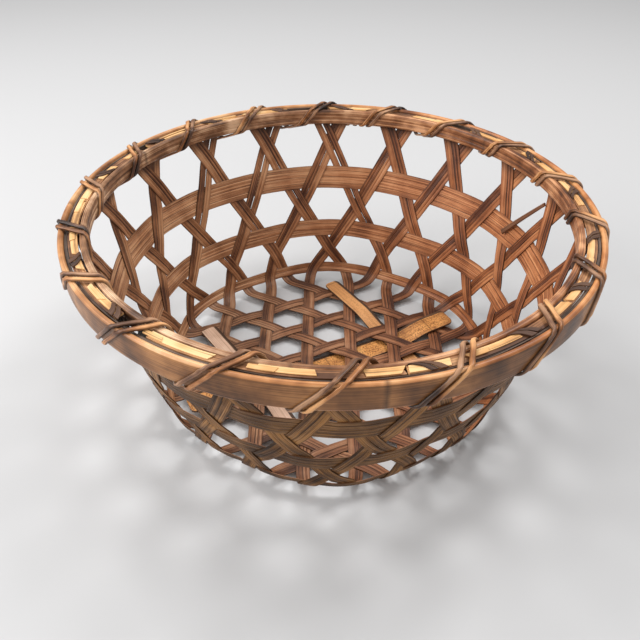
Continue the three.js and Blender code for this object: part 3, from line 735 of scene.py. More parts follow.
fibres = stretched_noise(14, given.outputs["Fibres per metre"], 3)
streaks = stretched_noise(5, 420, 2)
cracks = stretched_noise(9, 900, 1)
patches = add_node(g, "ShaderNodeTexNoise", {"Vector": place, "Scale": 34.0, "Detail": 3.0}).outputs[0]


def about_zero(value, strength):
    """A value between 0 and 1 turned into a plus or minus of some strength."""
    return maths(g, "MULTIPLY", maths(g, "SUBTRACT", value, 0.5), strength)


tone = maths(g, "ADD", 0.5, about_zero(tube_tone, given.outputs["Splint strength"]))
tone = maths(g, "ADD", tone, about_zero(patches, maths(g, "MULTIPLY", given.outputs["Patch strength"], 3)))
tone = maths(g, "ADD", tone, about_zero(streaks, given.outputs["Streak strength"]))
tone = maths(g, "ADD", tone, about_zero(fibres, maths(g, "MULTIPLY", given.outputs["Fibre strength"], 2)),
             clamp=True)
darker_half = maths(g, "MULTIPLY", tone, 2, clamp=True)
lighter_half = maths(g, "SUBTRACT", maths(g, "MULTIPLY", tone, 2), 1, clamp=True)
grain_colour = blend_colours(g, darker_half, given.outputs["Dark"], given.outputs["Middle"])
grain_colour = blend_colours(g, lighter_half, grain_colour, given.outputs["Light"])
print("with fibres and tones", len(g.nodes), "nodes")

# %% [markdown]
# ## Cracks, painted edge shade and specks
#
# Rare lows of a stretched noise become the dark cracks of old split bamboo. The edge shade value of the
# mesh paints shade along split edges and in grooves, darkens the knuckle lines in the same way, and
# takes them down in the bump. Fine round noise gives the dark specks of the slats.

# %% Cracks, painted edge shade and specks
crack_none, crack_full = 0.36, 0.27
edge_darkness = 0.7
speck_none, speck_full = 0.50, 0.60
crack_black = (0.01, 0.006, 0.004, 1)


def mask(value, none, full, top, smooth=False):
    """A mask that rises from 0, where value is none, to top, where it is full."""
    return add_node(g, "ShaderNodeMapRange", {
        "Value": value, "From Min": none, "From Max": full, "To Min": 0.0, "To Max": top},
        interpolation_type="SMOOTHSTEP" if smooth else "LINEAR").outputs[0]


crack_mask = mask(cracks, crack_none, crack_full, given.outputs["Cracks"])
# painted shade along edges, gaps and grooves, and the dark lines of joints, from the mesh
edge_shade_and_marks = add_node(g, "ShaderNodeAttribute", attribute_name="edge shade and marks").outputs["Fac"]
crack_mask = maths(g, "MAXIMUM", crack_mask, maths(g, "MULTIPLY", edge_shade_and_marks, edge_darkness))
crack_colour = blend_colours(g, 0.8, given.outputs["Dark"], crack_black)
grain_colour = blend_colours(g, crack_mask, grain_colour, crack_colour)
specks = add_node(g, "ShaderNodeTexNoise", {"Vector": place, "Scale": 620.0, "Detail": 2.0}).outputs[0]
speck_mask = mask(specks, speck_none, speck_full, given.outputs["Speckle"])
grain_colour = blend_colours(g, speck_mask, grain_colour, given.outputs["Dark"])
print("with cracks and specks", len(g.nodes), "nodes")

# %% [markdown]
# ## Ageing by place
#
# The colour changes with the place. Towards its left side, as it stands here, the basket turns greyer
# and paler, near the floor the weave is darker and greyer, and painted shade darkens the weave just
# below the rim, where the hoops shade it. Each is a soft mask of the place, so it passes from piece to
# piece without a step.

# %% Tints and painted shade by place
paling_none, paling_full = 0.16, -0.16    # across the basket, from right to left
dull_none, dull_full = 0.018, 0.004         # height above the floor
shade_none, shade_full = rim_top - 0.030, rim_top - 0.0135
paler_tint = (1.10, 1.52, 2.00, 1)
dull_tint = (0.69, 0.74, 0.84, 1)
shade_brown = (0.012, 0.007, 0.004, 1)

place_parts = add_node(g, "ShaderNodeSeparateXYZ", {0: place})
place_across, place_height = place_parts.outputs[0], place_parts.outputs[2]
# paler and greyer towards the left of the basket
paling_mask = mask(place_across, paling_none, paling_full, given.outputs["Weathering"], smooth=True)
paled = blend_colours(g, 1.0, grain_colour, paler_tint, blend="MULTIPLY")
grain_colour = blend_colours(g, paling_mask, grain_colour, paled)
# darker and greyer near the floor
dull_mask = mask(place_height, dull_none, dull_full, given.outputs["Base dulling"], smooth=True)
dulled = blend_colours(g, 1.0, grain_colour, dull_tint, blend="MULTIPLY")
grain_colour = blend_colours(g, dull_mask, grain_colour, dulled)
# painted shade below the rim, where the hoops shade the weave
shade_mask = mask(place_height, shade_none, shade_full, given.outputs["Rim shade"], smooth=True)
grain_colour = blend_colours(g, shade_mask, grain_colour, shade_brown)
g.links.new(grain_colour, gives.inputs["Colour"])
g.links.new(fibres, gives.inputs["Fibres"])
g.links.new(maths(g, "SUBTRACT", fibres, crack_mask), gives.inputs["Height"])
print("the finished grain group has", len(g.nodes), "nodes")

# %% [markdown]
# ## One finish from the group
#
# A finish is a material with its own copy of the group's knobs. Fibres that stand up are worn a little
# glossier than the lows between them, and the same fibres feed the bump. A thin clear coat stands for
# the polish of long use.

# %% Finish maker
coat_roughness = 0.35
bump_strength = 0.6
low_rougher, high_smoother = 0.12, 0.08


def finish(name, dark, middle, light, roughness, sheen_of=0.0, bump=0.0002, mirror=0.35, **grain):
    """A bamboo finish: the grain group feeds colour, roughness and bump of one Principled shader."""
    material = bpy.data.materials.new(name)
    material.use_nodes = True
    tree = material.node_tree
    shader = tree.nodes["Principled BSDF"]
    drawn = tree.nodes.new("ShaderNodeGroup")
    drawn.node_tree = grain_group
    for label, colour in (("Dark", dark), ("Middle", middle), ("Light", light)):
        drawn.inputs[label].default_value = (*colour, 1)
    for label, value in grain.items():
        drawn.inputs[label.replace("_", " ").capitalize()].default_value = value
    rough = add_node(tree, "ShaderNodeMapRange", {
        "Value": drawn.outputs["Fibres"], "From Min": 0.25, "From Max": 0.75,
        "To Min": roughness + low_rougher, "To Max": roughness - high_smoother})
    relief = add_node(tree, "ShaderNodeBump", {
        "Height": drawn.outputs["Height"], "Strength": bump_strength, "Distance": bump})
    tree.links.new(drawn.outputs["Colour"], shader.inputs["Base Color"])
    tree.links.new(rough.outputs[0], shader.inputs["Roughness"])
    tree.links.new(relief.outputs[0], shader.inputs["Normal"])
    shader.inputs["Specular IOR Level"].default_value = mirror
    shader.inputs["Coat Weight"].default_value = sheen_of
    shader.inputs["Coat Roughness"].default_value = coat_roughness
    print("finish", name)
    return material


# %% [markdown]
# ## Finishes of the weave
#
# Strips and bands show two sides of the same bamboo: the split inner side, red brown and full of
# fibres, faces into the basket, and the outer skin, darker and more olive, faces out. Two materials on
# one mesh, chosen for each side of the section, give both.

# %% Finishes of the weave
# Rim_shade paints the shade that the hoops cast on the weave just below the rim.
strip_inner = finish(
    "strip inner side", (0.074, 0.018, 0.005), (0.350, 0.112, 0.036), (0.580, 0.242, 0.098), 0.52,
    sheen_of=0.05, Splint_strength=0.8, Fibre_strength=1.0, Patch_strength=0.5, Cracks=0.8,
    Rim_shade=0.75, Weathering=0.8, Base_dulling=1.0)
strip_skin = finish(
    "strip outer skin", (0.018, 0.007, 0.002), (0.117, 0.048, 0.013), (0.350, 0.168, 0.056), 0.5,
    mirror=0.2, Splint_strength=0.7, Fibre_strength=1.1, Patch_strength=0.5, Cracks=0.8,
    Rim_shade=0.75, Seed=3.0)
band_inner = finish(
    "band inner side", (0.115, 0.031, 0.010), (0.435, 0.147, 0.050), (0.720, 0.330, 0.145), 0.52,
    sheen_of=0.05, Splint_strength=0.1, Fibre_strength=1.3, Patch_strength=0.45, Cracks=0.7,
    Rim_shade=0.75, Weathering=0.8, Seed=5.0)
band_skin = finish(
    "band outer skin", (0.017, 0.007, 0.002), (0.099, 0.041, 0.0115), (0.310, 0.150, 0.050), 0.48,
    mirror=0.2, Splint_strength=0.1, Fibre_strength=1.1, Patch_strength=0.5, Cracks=0.7,
    Rim_shade=0.75, Seed=7.0)

# %% [markdown]
# ## Woven lengths
#
# Strips and bands are made alike: lanes run lengthwise across the width, and each lane rises and dips
# by its own crossings. Two rows of points, the top and the bottom of each lane, close to a ring. The
# end of a strip is cut level with the rim, so its edges stop at different lengths.

# %% Woven tubes
def level_cut(piece, along, aside):
    """Where an edge stops, so that the end of a strip is cut level with the rim."""
    run, angle = piece["path"].place_at(np.array(along))
    along_run, _, normal = surface_frame(run, angle)
    direction = piece["path"].direction_at(np.array(along))
    side = unit(np.cross(normal, direction))
    return along - aside * float(side @ along_run) / float(direction @ along_run)


def woven_tube(bundle, piece, shares, asides, tops, bottoms, along, kinds, shade_and_marks, lift=0.0):
    """A lengthwise part of a strip or band. asides is given for each place along and each lane."""
    levels = np.stack([level_at(piece, share, along[:, k]) for k, share in enumerate(shares)], 1)
    spot, normal = piece["path"].beside(along, asides)
    middle = spot + normal * (levels * strand_lift + lift)[..., None]
    top = middle + normal * np.asarray(tops)[:, None]
    bottom = middle + normal * np.asarray(bottoms)[:, None]
    rings = np.concatenate([top, bottom[:, ::-1]], 1)
    row = along[:, 0]
    if piece["path"].closed:
        row = np.append(row, piece["path"].length)
    bundle.tube(rings, row, kinds, piece["path"].closed, shade_and_marks)


edge_stops = [level_cut(strips[0], strips[0]["path"].length, aside) for aside in (-0.005, 0.005)]
print("the edges of strip 1 end", round(1000 * abs(edge_stops[1] - edge_stops[0]), 1), "mm apart")

# %% [markdown]
# ## Splints
#
# Each strip is really a pair of narrow splints laid side by side, and a few pairs stand open by nearly
# a millimetre up the wall. A splint has a flat section with rounded edges and a faint groove, and
# follows its lane's own over and under, so a pair twists slightly at each slanted crossing as bent
# bamboo does.

# %% Splints
splint_thickness = 0.00105
splint_drop = np.array([0.00026, 0, 0, 0, 0.0002, 0, 0, 0, 0.00026])
# painted shade along the edges of each splint, where the gap to its neighbour is
splint_edge_shade = np.array([1, 0.55, 0, 0, 0.45, 0, 0, 0.55, 1])
splint_kinds = [0] * 8 + [1] * 9 + [0]
ring_step = 0.0035
usual_opening, rare_opening, rare_share = 0.0002, 0.0009, 0.12
least_opening = 0.0001
cover_share, spread_share = 1.15, 1.12     # dry splints spread a little past the plain strip
sway_size = 0.00012
lift_size = 0.00005


def make_strip(strip):
    """Both splints of a strip in one mesh."""
    path = strip["path"]
    bundle = Bundle()
    count = math.ceil(path.length / ring_step)
    open_start, open_end = rng.uniform(0, usual_opening, 2) + (rng.random(2) < rare_share) * rare_opening
    for side in (-1, 1):
        groove = rng.uniform(-0.14, 0.14)
        splint_lanes = np.array([-0.5, -0.47, -0.3, groove - 0.04, groove, groove + 0.04, 0.3, 0.47, 0.5])
        shares = side * 0.25 + splint_lanes * 0.47
        cuts = [[level_cut(strip, end, share * strip_top_width) for share in shares]
                for end in (0, path.length)]
        along = np.linspace(cuts[0], cuts[1], count)
        run, _ = path.place_at(along)
        width = strip["width_at"](run)
        half_way = ease(0.35, 0.65, along / path.length)
        opening = least_opening + ease(foot_band_run, collar_start, run) * (
            open_start * (1 - half_way) + open_end * half_way)
        own = (width * cover_share - opening) / 2 * rng.uniform(0.98, 1.0)
        sway = sway_size * np.sin(along * rng.uniform(40, 70) + rng.uniform(0, 6))
        asides = side * (width * spread_share + opening) / 4 + splint_lanes * own + sway
        top = splint_thickness / 2 - splint_drop
        shade_and_marks = np.concatenate([splint_edge_shade, splint_edge_shade[::-1]])
        woven_tube(bundle, strip, shares, asides, top, -top, along, splint_kinds, shade_and_marks,
                   lift=rng.uniform(-lift_size, lift_size))
    piece = bundle.make(f"splints_{strip['name']}", [strip_inner, strip_skin])
    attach(piece, "root")
    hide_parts(f"strip_{strip['name']}")


for strip in strips:
    make_strip(strip)
print("splints made for", len(strips), "strips")

# %% [markdown]
# ## Bands
#
# The three bands are splits of the same bamboo, the upper two wider than the strips. Their faces show a
# few lengthwise grooves where narrower splints lie edge to edge, so the section has shallow dips, and
# the weave is the same as before but on a closed path.

# %% Bands
groove_half = 0.00045
groove_depth = 0.0004
band_edge = 0.0003
groove_shares = ((-0.05,), (-0.24, 0.12), (-0.3, -0.02, 0.27))    # places across each band's width


def make_band(band, grooves):
    """One band, with its grooves at shares of its width."""
    path, width = band["path"], band["width"]
    lanes = [-width / 2, -width / 2 + band_edge]
    drop = [0.0, 0.0]
    for groove in grooves:
        lanes += [groove * width - groove_half, groove * width, groove * width + groove_half]
        drop += [0, groove_depth, 0]
    lanes = np.array(lanes + [width / 2 - band_edge, width / 2])
    drop = np.array(drop + [0.0, 0.0])
    # painted shade in the grooves and along both edges of the band
    shade_and_marks = np.where(drop > 0, 1.0, 0.0)
    shade_and_marks[[0, 1, -2, -1]] = (1, 0.3, 0.3, 1)
    half = np.full(len(lanes), splint_thickness / 2)
    half[[0, -1]] *= 0.5
    count = round(path.length / ring_step)
    along = np.repeat(np.linspace(0, path.length, count, endpoint=False)[:, None], len(lanes), 1)
    kinds = [0] * len(lanes) + [1] * len(lanes)
    kinds[len(lanes) - 1] = kinds[-1] = 0
    bundle = Bundle()
    woven_tube(bundle, band, lanes / width, np.repeat(lanes[None], count, 0), half - drop,
               -(half - drop), along, kinds, np.concatenate([shade_and_marks, shade_and_marks[::-1]]))
    piece = bundle.make(f"woven_band_{band['name']}", [band_inner, band_skin])
    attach(piece, "root")
    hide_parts(f"band_{band['name']}")


for band, grooves in zip(bands, groove_shares):
    make_band(band, grooves)

# %% [markdown]
# ## Finishes of the hoops
#
# A hoop is a thick split that keeps the glossy skin of the bamboo on its outer face. Where it is cut,
# along the top, the paler inside shows and catches the light. The inner hoop is more worn and streaky.

# %% Hoop finishes
hoop_skin = finish(
    "hoop skin", (0.062, 0.024, 0.008), (0.215, 0.088, 0.028), (0.480, 0.222, 0.080), 0.40, sheen_of=0.12,
    bump=0.0001, Fibres_per_metre=1500, Splint_strength=0.0, Fibre_strength=0.55, Patch_strength=0.7,
    Streak_strength=0.6, Cracks=0.4, Seed=11.0)
hoop_edge = finish(
    "hoop cut edge", (0.170, 0.050, 0.014), (0.530, 0.200, 0.064), (0.850, 0.450, 0.195), 0.40,
    sheen_of=0.16, bump=0.0001, Splint_strength=0.0, Fibre_strength=0.5, Patch_strength=0.7,
    Streak_strength=0.8, Cracks=0.4, Weathering=0.5, Seed=13.0)
inner_hoop_finish = finish(
    "inner hoop", (0.060, 0.018, 0.006), (0.310, 0.112, 0.040), (0.780, 0.400, 0.195), 0.42, sheen_of=0.14,
    bump=0.00012, Splint_strength=0.0, Fibre_strength=0.9, Patch_strength=0.9, Streak_strength=1.4,
    Cracks=0.7, Weathering=0.8, Seed=17.0)

# %% [markdown]
# ## The two hoops
#
# Each hoop is a closed ring of one section, with a knuckle every third of a metre or so, where the
# bamboo had a joint: a low ridge and a dark line. The inner hoop has a seam along its face and dips a
# little at the front, as in the photograph. Real hoops are never quite true, so both wander by a
# fraction of a millimetre. They could be torus meshes, sculpted by hand, but formulas that move the
# points of one section keep all this in one short function.

# %% Hoop shape
hoop_steps = 480
rim_angles = np.linspace(0, 2 * math.pi, hoop_steps, endpoint=False)
front_angle = -90
sag_spread = 0.55                                  # in radians to each side of the front
settle = 0.00015                                   # both hoops sit this much below the rim line
knuckle_rise, knuckle_half = 0.0004, 0.0013
dent_place, dent_half = 0.003, 0.001               # a shallow dent beside each ridge
line_place, line_half, line_darkness = 0.0012, 0.0014, 0.9
seam_depth, seam_half = 0.0005, 0.0005


def wander(size, *waves):
    """A slow closed wave round the rim."""
    return size * sum(np.sin(k * rim_angles + phase) for k, phase in waves) / len(waves)


def turn_from(degrees):
    """Signed angle of every ring of a hoop from a place in degrees."""
    return (rim_angles - math.radians(degrees) + math.pi) % (2 * math.pi) - math.pi


def make_hoop(name, node, middle_radius, middle_height, outline, materials, kinds, knuckles, seam=None,
              front_sag=0.0):
    """A bent hoop with knuckles at places in degrees and a seam at a height of its inner face."""
    section = np.repeat(outline[None], hoop_steps, 0)
    section[..., 1] -= front_sag * np.exp(-(turn_from(front_angle) / sag_spread) ** 2)[:, None]
    section[..., 0] += middle_radius + wander(0.00008, (3, 0.4), (5, 2.0))[:, None]
    section[..., 1] += middle_height - settle + wander(0.00012, (2, 1.0), (7, 0.3))[:, None]
    dark_rings = np.zeros(hoop_steps)
    outward = np.clip(outline[:, 0] / outline[:, 0].max(), 0, 1) ** 4
    for knuckle in knuckles:
        away = turn_from(knuckle) * rim_radius
        dent = np.exp(-((away - dent_place) / dent_half) ** 2)
        ridge = np.exp(-(away / knuckle_half) ** 2) - 0.5 * dent
        section[..., 0] += knuckle_rise * ridge[:, None] * outward[None]
        dark_rings += line_darkness * np.exp(-((away - line_place) / line_half) ** 2)
    if seam is not None:
        dip = np.exp(-((outline[:, 1] - seam) / seam_half) ** 2) * (outline[:, 0] < 0)
        section[..., 0] += seam_depth * dip[None]
    bundle = Bundle()
    bundle.tube(round_the_rim(rim_angles, section), np.append(rim_angles, 2 * math.pi) * middle_radius,
                kinds, closed=True, shade_and_marks=dark_rings[:, None])
    piece = bundle.make(name, materials, sharp=50)
    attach(piece, "root")
    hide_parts(node)


# %% [markdown]
# ## Sections of the hoops
#
# The outer hoop is tall and thin, and its face bulges a little, as the wall of a bamboo does. Its
# face takes the skin finish and the cut top and back take the paler one. The inner hoop is rounder, and
# its section has points close enough together for the seam to show.

# %% Outer and inner hoop
outer_hoop_thickness, outer_hoop_depth = 0.005, 0.023
inner_hoop_depth = 0.015
hoop_rounding = 0.0022
skin_from, skin_below = 0.0021, 0.0096     # the part of the section that shows the skin
front_dip = 0.0026

outer_outline = rounded_outline(0.0049, 0.0226, hoop_rounding, corner_points=6, longest=0.004)
face_bulge = 0.0001 - 0.0003 * (2 * outer_outline[:, 1] / outer_hoop_depth) ** 2
outer_outline[:, 0] += np.where(outer_outline[:, 0] > 0, face_bulge, 0)
skin_side = (outer_outline[:, 0] > skin_from) & (outer_outline[:, 1] < skin_below)
make_hoop("bent_hoop_outer", "hoop_outer", rim_radius - outer_hoop_thickness / 2,
          rim_top - outer_hoop_depth / 2, outer_outline, [hoop_edge, hoop_skin], skin_side.astype(int),
          knuckles=(278, 181, 84, 3))
inner_outline = rounded_outline(0.0054, 0.0147, 0.0021, corner_points=5, longest=0.0009)
make_hoop("bent_hoop_inner", "hoop_inner", inner_hoop_face + inner_hoop_thickness / 2,
          rim_top - inner_hoop_depth / 2, inner_outline, [inner_hoop_finish], 0,
          knuckles=(40, 152, 262), seam=-0.0016, front_sag=front_dip)

# %% [markdown]
# ## Finishes of the packing
#
# What fills the space between the hoops was split fresh when the rim was bound. The lengths that lie on
# top are pale, the bars below them are painted darker brown as the shade under them, and the thin
# strips on edge at the outer side are painted dark as the shade of the gap beside the outer hoop. Three
# finishes from the same group tell them apart.

# %% Rim packing finishes
filler_finish = finish(
    "fresh filler", (0.330, 0.150, 0.052), (0.720, 0.375, 0.136), (0.900, 0.570, 0.265), 0.58,
    sheen_of=0.05, bump=0.00015, Fibres_per_metre=1800, Splint_strength=0.7, Fibre_strength=0.5,
    Patch_strength=0.7, Cracks=0.6, Weathering=0.2, Seed=19.0)
shaded_filler_finish = finish(
    "shaded filler", (0.100, 0.040, 0.018), (0.350, 0.158, 0.068), (0.640, 0.350, 0.165), 0.56,
    sheen_of=0.05, bump=0.00015, Fibres_per_metre=1800, Splint_strength=0.7, Fibre_strength=0.7,
    Patch_strength=1.0, Streak_strength=1.8, Cracks=0.8, Seed=21.0)
# the lining strips are painted dark as the shade of the narrow gap beside the outer hoop
lining_shade_finish = finish(
    "lining edge strips", (0.035, 0.022, 0.016), (0.130, 0.085, 0.060), (0.280, 0.190, 0.140), 0.55,
    bump=0.00015, Splint_strength=0.6, Fibre_strength=0.5, Patch_strength=0.6, Cracks=0.6, Seed=23.0)

# %% [markdown]
# ## Lining
#
# Against the outer hoop stand three thin strips on edge. Their tops were never trimmed level, so each
# top edge is a sum of slow waves of its own.

# %% Lining
lining_face = 0.2175
lining_pitch = 0.00075
lining_depth = 0.0168
lining_drop, lining_wave = 0.0002, 0.0009
bundle = Bundle()
for i in range(3):
    outline = rounded_outline(0.00062, 1.0, 0.0002, corner_points=2)
    waves = wander(1.0, (3 + i, i), (11 - i, 2 * i), (17 + i, 3.3))
    top = filler_top - lining_drop - lining_wave * (1 + waves) * (0.6 + 0.4 * i)
    bottom = filler_top - lining_depth
    section = np.repeat(outline[None], hoop_steps, 0)
    section[..., 0] += lining_face + lining_pitch * (i + 0.5)
    section[..., 1] = bottom + (section[..., 1] + 0.5) * (top - bottom)[:, None]
    bundle.tube(round_the_rim(rim_angles, section), np.append(rim_angles, 2 * math.pi) * lining_face,
                closed=True)
piece = bundle.make("lining_strips", [lining_shade_finish])
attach(piece, "root")
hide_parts("rim_lining")

# %% [markdown]
# ## Where the fillers lie
#
# On top of the cut strip ends the maker packed split bamboo by hand: bars below, painted darker brown as
# shade, and over them short pale lengths with square or slanted ends. Their places are read from the
# photograph, as angles round the rim, because where each pale length starts and stops is what the eye
# knows this rim by.

# %% Places of the fillers
channel_inner = inner_hoop_back + 0.0010
filler_spans = ((-13, 5.2), (5.8, 22.7), (23.3, 47), (55, 91), (103, 148), (151, 179.7), (180.3, 192.7),
                (193.3, 203.6), (204.2, 227.2), (236, 281.7), (282.3, 319.7), (320.3, 345.6))
# Pale lengths that lie on top, between the lashings, in degrees round the rim.
top_lengths = ((-26, -15), (-39.5, -32.4), (-45, -40.5), (-65.4, -55), (-77.5, -70), (-85, -78.4),
               (-103, -93), (-124, -111), (-143, -133), (-155.6, -151), (-166.5, -157), (-179, -168),
               (173.5, 179), (162, 169), (151.5, 157), (80, 90.5), (56, 65), (36, 46.5), (24, 29),
               (17, 22.3), (6, 12), (0, 5))
sliver_lengths = ((103, 117), (118, 131), (132, 147))


def lengths_in(span, lengths):
    """The lengths whose middle lies in a span, all in degrees."""
    return [(start, stop) for start, stop in lengths
            if any(span[0] <= (start + stop) / 2 + turn <= span[1] for turn in (0, 360))]


print(len(top_lengths), "pale lengths,", sum(len(lengths_in(span, top_lengths)) for span in filler_spans),
      "of them over a filler")

# %% [markdown]
# ## A packed bar
#
# Every filler is a short bent bar of box section. Its ends are cut at a slant, which only the last
# stretch of the bar should feel, so the slant is weighted by a high power of the share along it.

# %% Packed bar
bar_step = 1.2     # degrees between the rings of a bar


def packed_bar(bundle, start, stop, inner, outer, bottom, top, slants, rise=0.0, kind=0):
    """A bent bar between two angles in degrees, cut at a slant at each end."""
    outline = rounded_outline(1.0, 1.0, 0.08, corner_points=2) + 0.5
    count = max(3, math.ceil((stop - start) / bar_step) + 1)
    share = np.linspace(0, 1, count)
    radius = inner + outline[:, 0] * (outer - inner)
    height = bottom + outline[:, 1] * (top - bottom)
    section = np.stack([np.repeat(radius[None], count, 0), height[None] + rise * share[:, None]], -1)
    lean = (outline[:, 0] - 0.5)[None]
    angle = start + share[:, None] * (stop - start)
    angle = angle + lean * (slants[0] * (1 - share) ** 6 + slants[1] * share ** 6)[:, None]
    along = np.radians(start + share * (stop - start)) * inner
    bundle.tube(round_the_rim(np.radians(angle), section), along, kind)


print("a bar over ten degrees is", round(1000 * math.radians(10) * channel_inner), "mm long")

# %% [markdown]
# ## Fillers
#
# Each filler of the solids becomes one bar, painted darker brown as shade, with the pale lengths that
# lie on it. Long pale lengths carry a scrap across one end, and at the back left the packing is split
# into slivers. Placed by hand they would take an afternoon, so the seeded random numbers give every
# one its own width, height and cut.

# %% Fillers
brown_bottom, brown_top = filler_top - 0.0024, filler_top - 0.0006
pale_bottom, pale_top = filler_top - 0.0005, filler_top + 0.0004
scrap_bottom, scrap_top = filler_top + 0.0002, filler_top + 0.0009
scrap_inner, scrap_outer = 0.0016, 0.0056      # from the inner edge of the pale length below it
scrap_overhang = 1.5                           # in degrees, past the end of that length
long_enough = 8                                # degrees from which a pale length carries a scrap
slivers_abreast, sliver_pitch = 4, 0.0018
sliver_gap, sliver_bottom = 0.0002, filler_top - 0.0008

for number, span in enumerate(filler_spans):
    bundle = Bundle()
    wide = rng.uniform(0.0073, 0.0078)
    inner = channel_inner + rng.uniform(0.0001, 0.0004)
    # kind 1 is the darker brown finish, painted as the shade under the pale lengths
    packed_bar(bundle, span[0], span[1], inner, inner + wide, brown_bottom, brown_top,
               rng.uniform(-0.6, 0.6, 2), kind=1)
    for start, stop in lengths_in(span, top_lengths):
        wide = rng.uniform(0.0046, 0.0064)
        inner = channel_inner + rng.uniform(0.0002, 0.0016)
        cut = rng.uniform(-1.2, 1.2, 2)
        packed_bar(bundle, start, stop, inner, inner + wide, pale_bottom, pale_top,
                   cut, rise=rng.uniform(-0.0003, 0.0002))
        if stop - start > long_enough:
            packed_bar(bundle, start - scrap_overhang, start + rng.uniform(2.5, 4.5), inner + scrap_inner,
                       inner + scrap_outer, scrap_bottom, scrap_top, rng.uniform(-1.5, 1.5, 2))
    for start, stop in lengths_in(span, sliver_lengths):
        for k in range(slivers_abreast):
            inner = channel_inner + sliver_gap + k * sliver_pitch
            packed_bar(bundle, start + rng.uniform(0, 4), stop - rng.uniform(0, 4), inner,
                       inner + rng.uniform(0.0009, 0.0015), sliver_bottom,
                       filler_top + rng.uniform(0.0001, 0.0010), rng.uniform(-1, 1, 2),
                       rise=rng.uniform(-0.0003, 0.0003))
    piece = bundle.make(f"packed_filler_{number + 1}", [filler_finish, shaded_filler_finish])
    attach(piece, "root")
    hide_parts(f"rim_filler_{number + 1}")

# %% [markdown]
# ## Folded strip tips
#
# Some strip ends are long enough to be folded flat over the packing before the rim is bound. They show
# as brown pairs of splints that come up beside the inner hoop and lie across the pale fillers. Five
# guiding points of radius, height and angle carry each splint over, and a smoothing pass rounds the
# fold.

# %% Folded tips
tip_places = (4.5, 24.5, 44.5, 84.5, 104, 124.5, 144, 164.5, 204, 224.5, 284, 304.5, 324, 344)
tip_thickness, tip_length, tip_apart = 0.0009, 0.018, 0.0062
tip_foot_drop, tip_edge_drop, tip_droop = 0.0060, 0.0004, 0.0003
beside_hoop, off_hoop, mid_channel = (inner_hoop_back + gap for gap in (0.0007, 0.0014, 0.0050))
tip_rings = 17
tip_finish = finish(
    "folded tip", (0.050, 0.019, 0.009), (0.220, 0.086, 0.037), (0.440, 0.205, 0.098), 0.5, sheen_of=0.1,
    Splint_strength=0.7, Fibre_strength=0.6, Patch_strength=0.3, Cracks=0.7, Seed=29.0)
bundle = Bundle()
for place_angle in tip_places:
    lean = rng.uniform(2.2, 3.6)
    for side in (-0.5, 0.5):
        width = rng.uniform(0.0048, 0.0056)
        high = filler_top + rng.uniform(0.0009, 0.0011)
        guide = np.array([
            [beside_hoop, filler_top - tip_foot_drop, 0.0],
            [beside_hoop, filler_top - tip_edge_drop, 0.1],
            [off_hoop, high, 0.3],
            [mid_channel, high, 0.3 + 0.6 * lean],
            [lining_face + rng.uniform(-0.0004, 0.0012), high - tip_droop, lean]])
        steps = np.linspace(0, len(guide) - 1, tip_rings)
        line = np.stack([np.interp(steps, range(len(guide)), guide[:, k]) for k in range(3)], 1)
        line[1:-1] = (line[:-2] + 2 * line[1:-1] + line[2:]) / 4
        angle = np.radians(place_angle + line[:, 2]) + side * tip_apart / inner_hoop_back
        slope = unit(np.gradient(line[:, :2], axis=0))
        outward = np.stack([-slope[:, 1], slope[:, 0]], 1)
        outline = rounded_outline(width, tip_thickness, tip_thickness / 3, corner_points=2)
        section = line[:, None, :2] + outline[None, :, 1:] * outward[:, None]
        ring_angle = angle[:, None] + outline[None, :, 0] / inner_hoop_back
        # painted shade along both edges of each tip
        bundle.tube(round_the_rim(ring_angle, section), np.linspace(0, tip_length, len(line)),
                    shade_and_marks=(np.abs(outline[:, 0]) > width * 0.4).astype(float))
piece = bundle.make("folded_tips", [tip_finish])
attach(piece, "root")

# %% [markdown]
# ## Finishes of the lashing
#
# The rim is bound with two strands of split cane laid side by side. One is a warm light brown and the
# other greyer and darker, and both keep the gloss of their skin. All that differs is the colours and
# the seed, so the rest is written once and handed to both.

# %% Lashing finishes
cane_grain = {"sheen_of": 0.16, "bump": 0.00012, "Fibres_per_metre": 1400, "Splint_strength": 0.0,
              "Fibre_strength": 0.6, "Patch_strength": 1.2, "Streak_strength": 1.0, "Cracks": 0.6}
cane_light = finish("light cane", (0.080, 0.027, 0.009), (0.380, 0.148, 0.047), (0.780, 0.400, 0.165),
                    0.42, Seed=31.0, **cane_grain)
cane_grey = finish("grey brown cane", (0.032, 0.014, 0.008), (0.190, 0.084, 0.040), (0.480, 0.260, 0.140),
                   0.42, Seed=37.0, **cane_grain)

# %% [markdown]
# ## The route of the lashing
#
# Both strands go over the hoops and back through the weave once in each bay. The route is the one in
# the solids: arcs round the four corners of the rim's section and slanted runs on its faces. Each line
# of the table is one place of a turn, and the steps between two lines say how many rings lie there.

# %% Lashing route
lash_width = 0.0048
lash_thickness = 0.0020
lash_off = seat_gap + lash_thickness / 2
bend_off = hoop_rounding + lash_off
outer_foot = rim_top - outer_hoop_depth
inner_foot = rim_top - inner_hoop_depth
return_radius = rim_radius - 0.006      # where a strand, below the hoops, starts on its next turn
over_top, to_inside, to_below, bend_share = 0.357, 0.595, 0.777, 0.045
bend_outer = rim_radius - hoop_rounding
bend_inner = inner_hoop_face + hoop_rounding
bend_top = rim_top - hoop_rounding
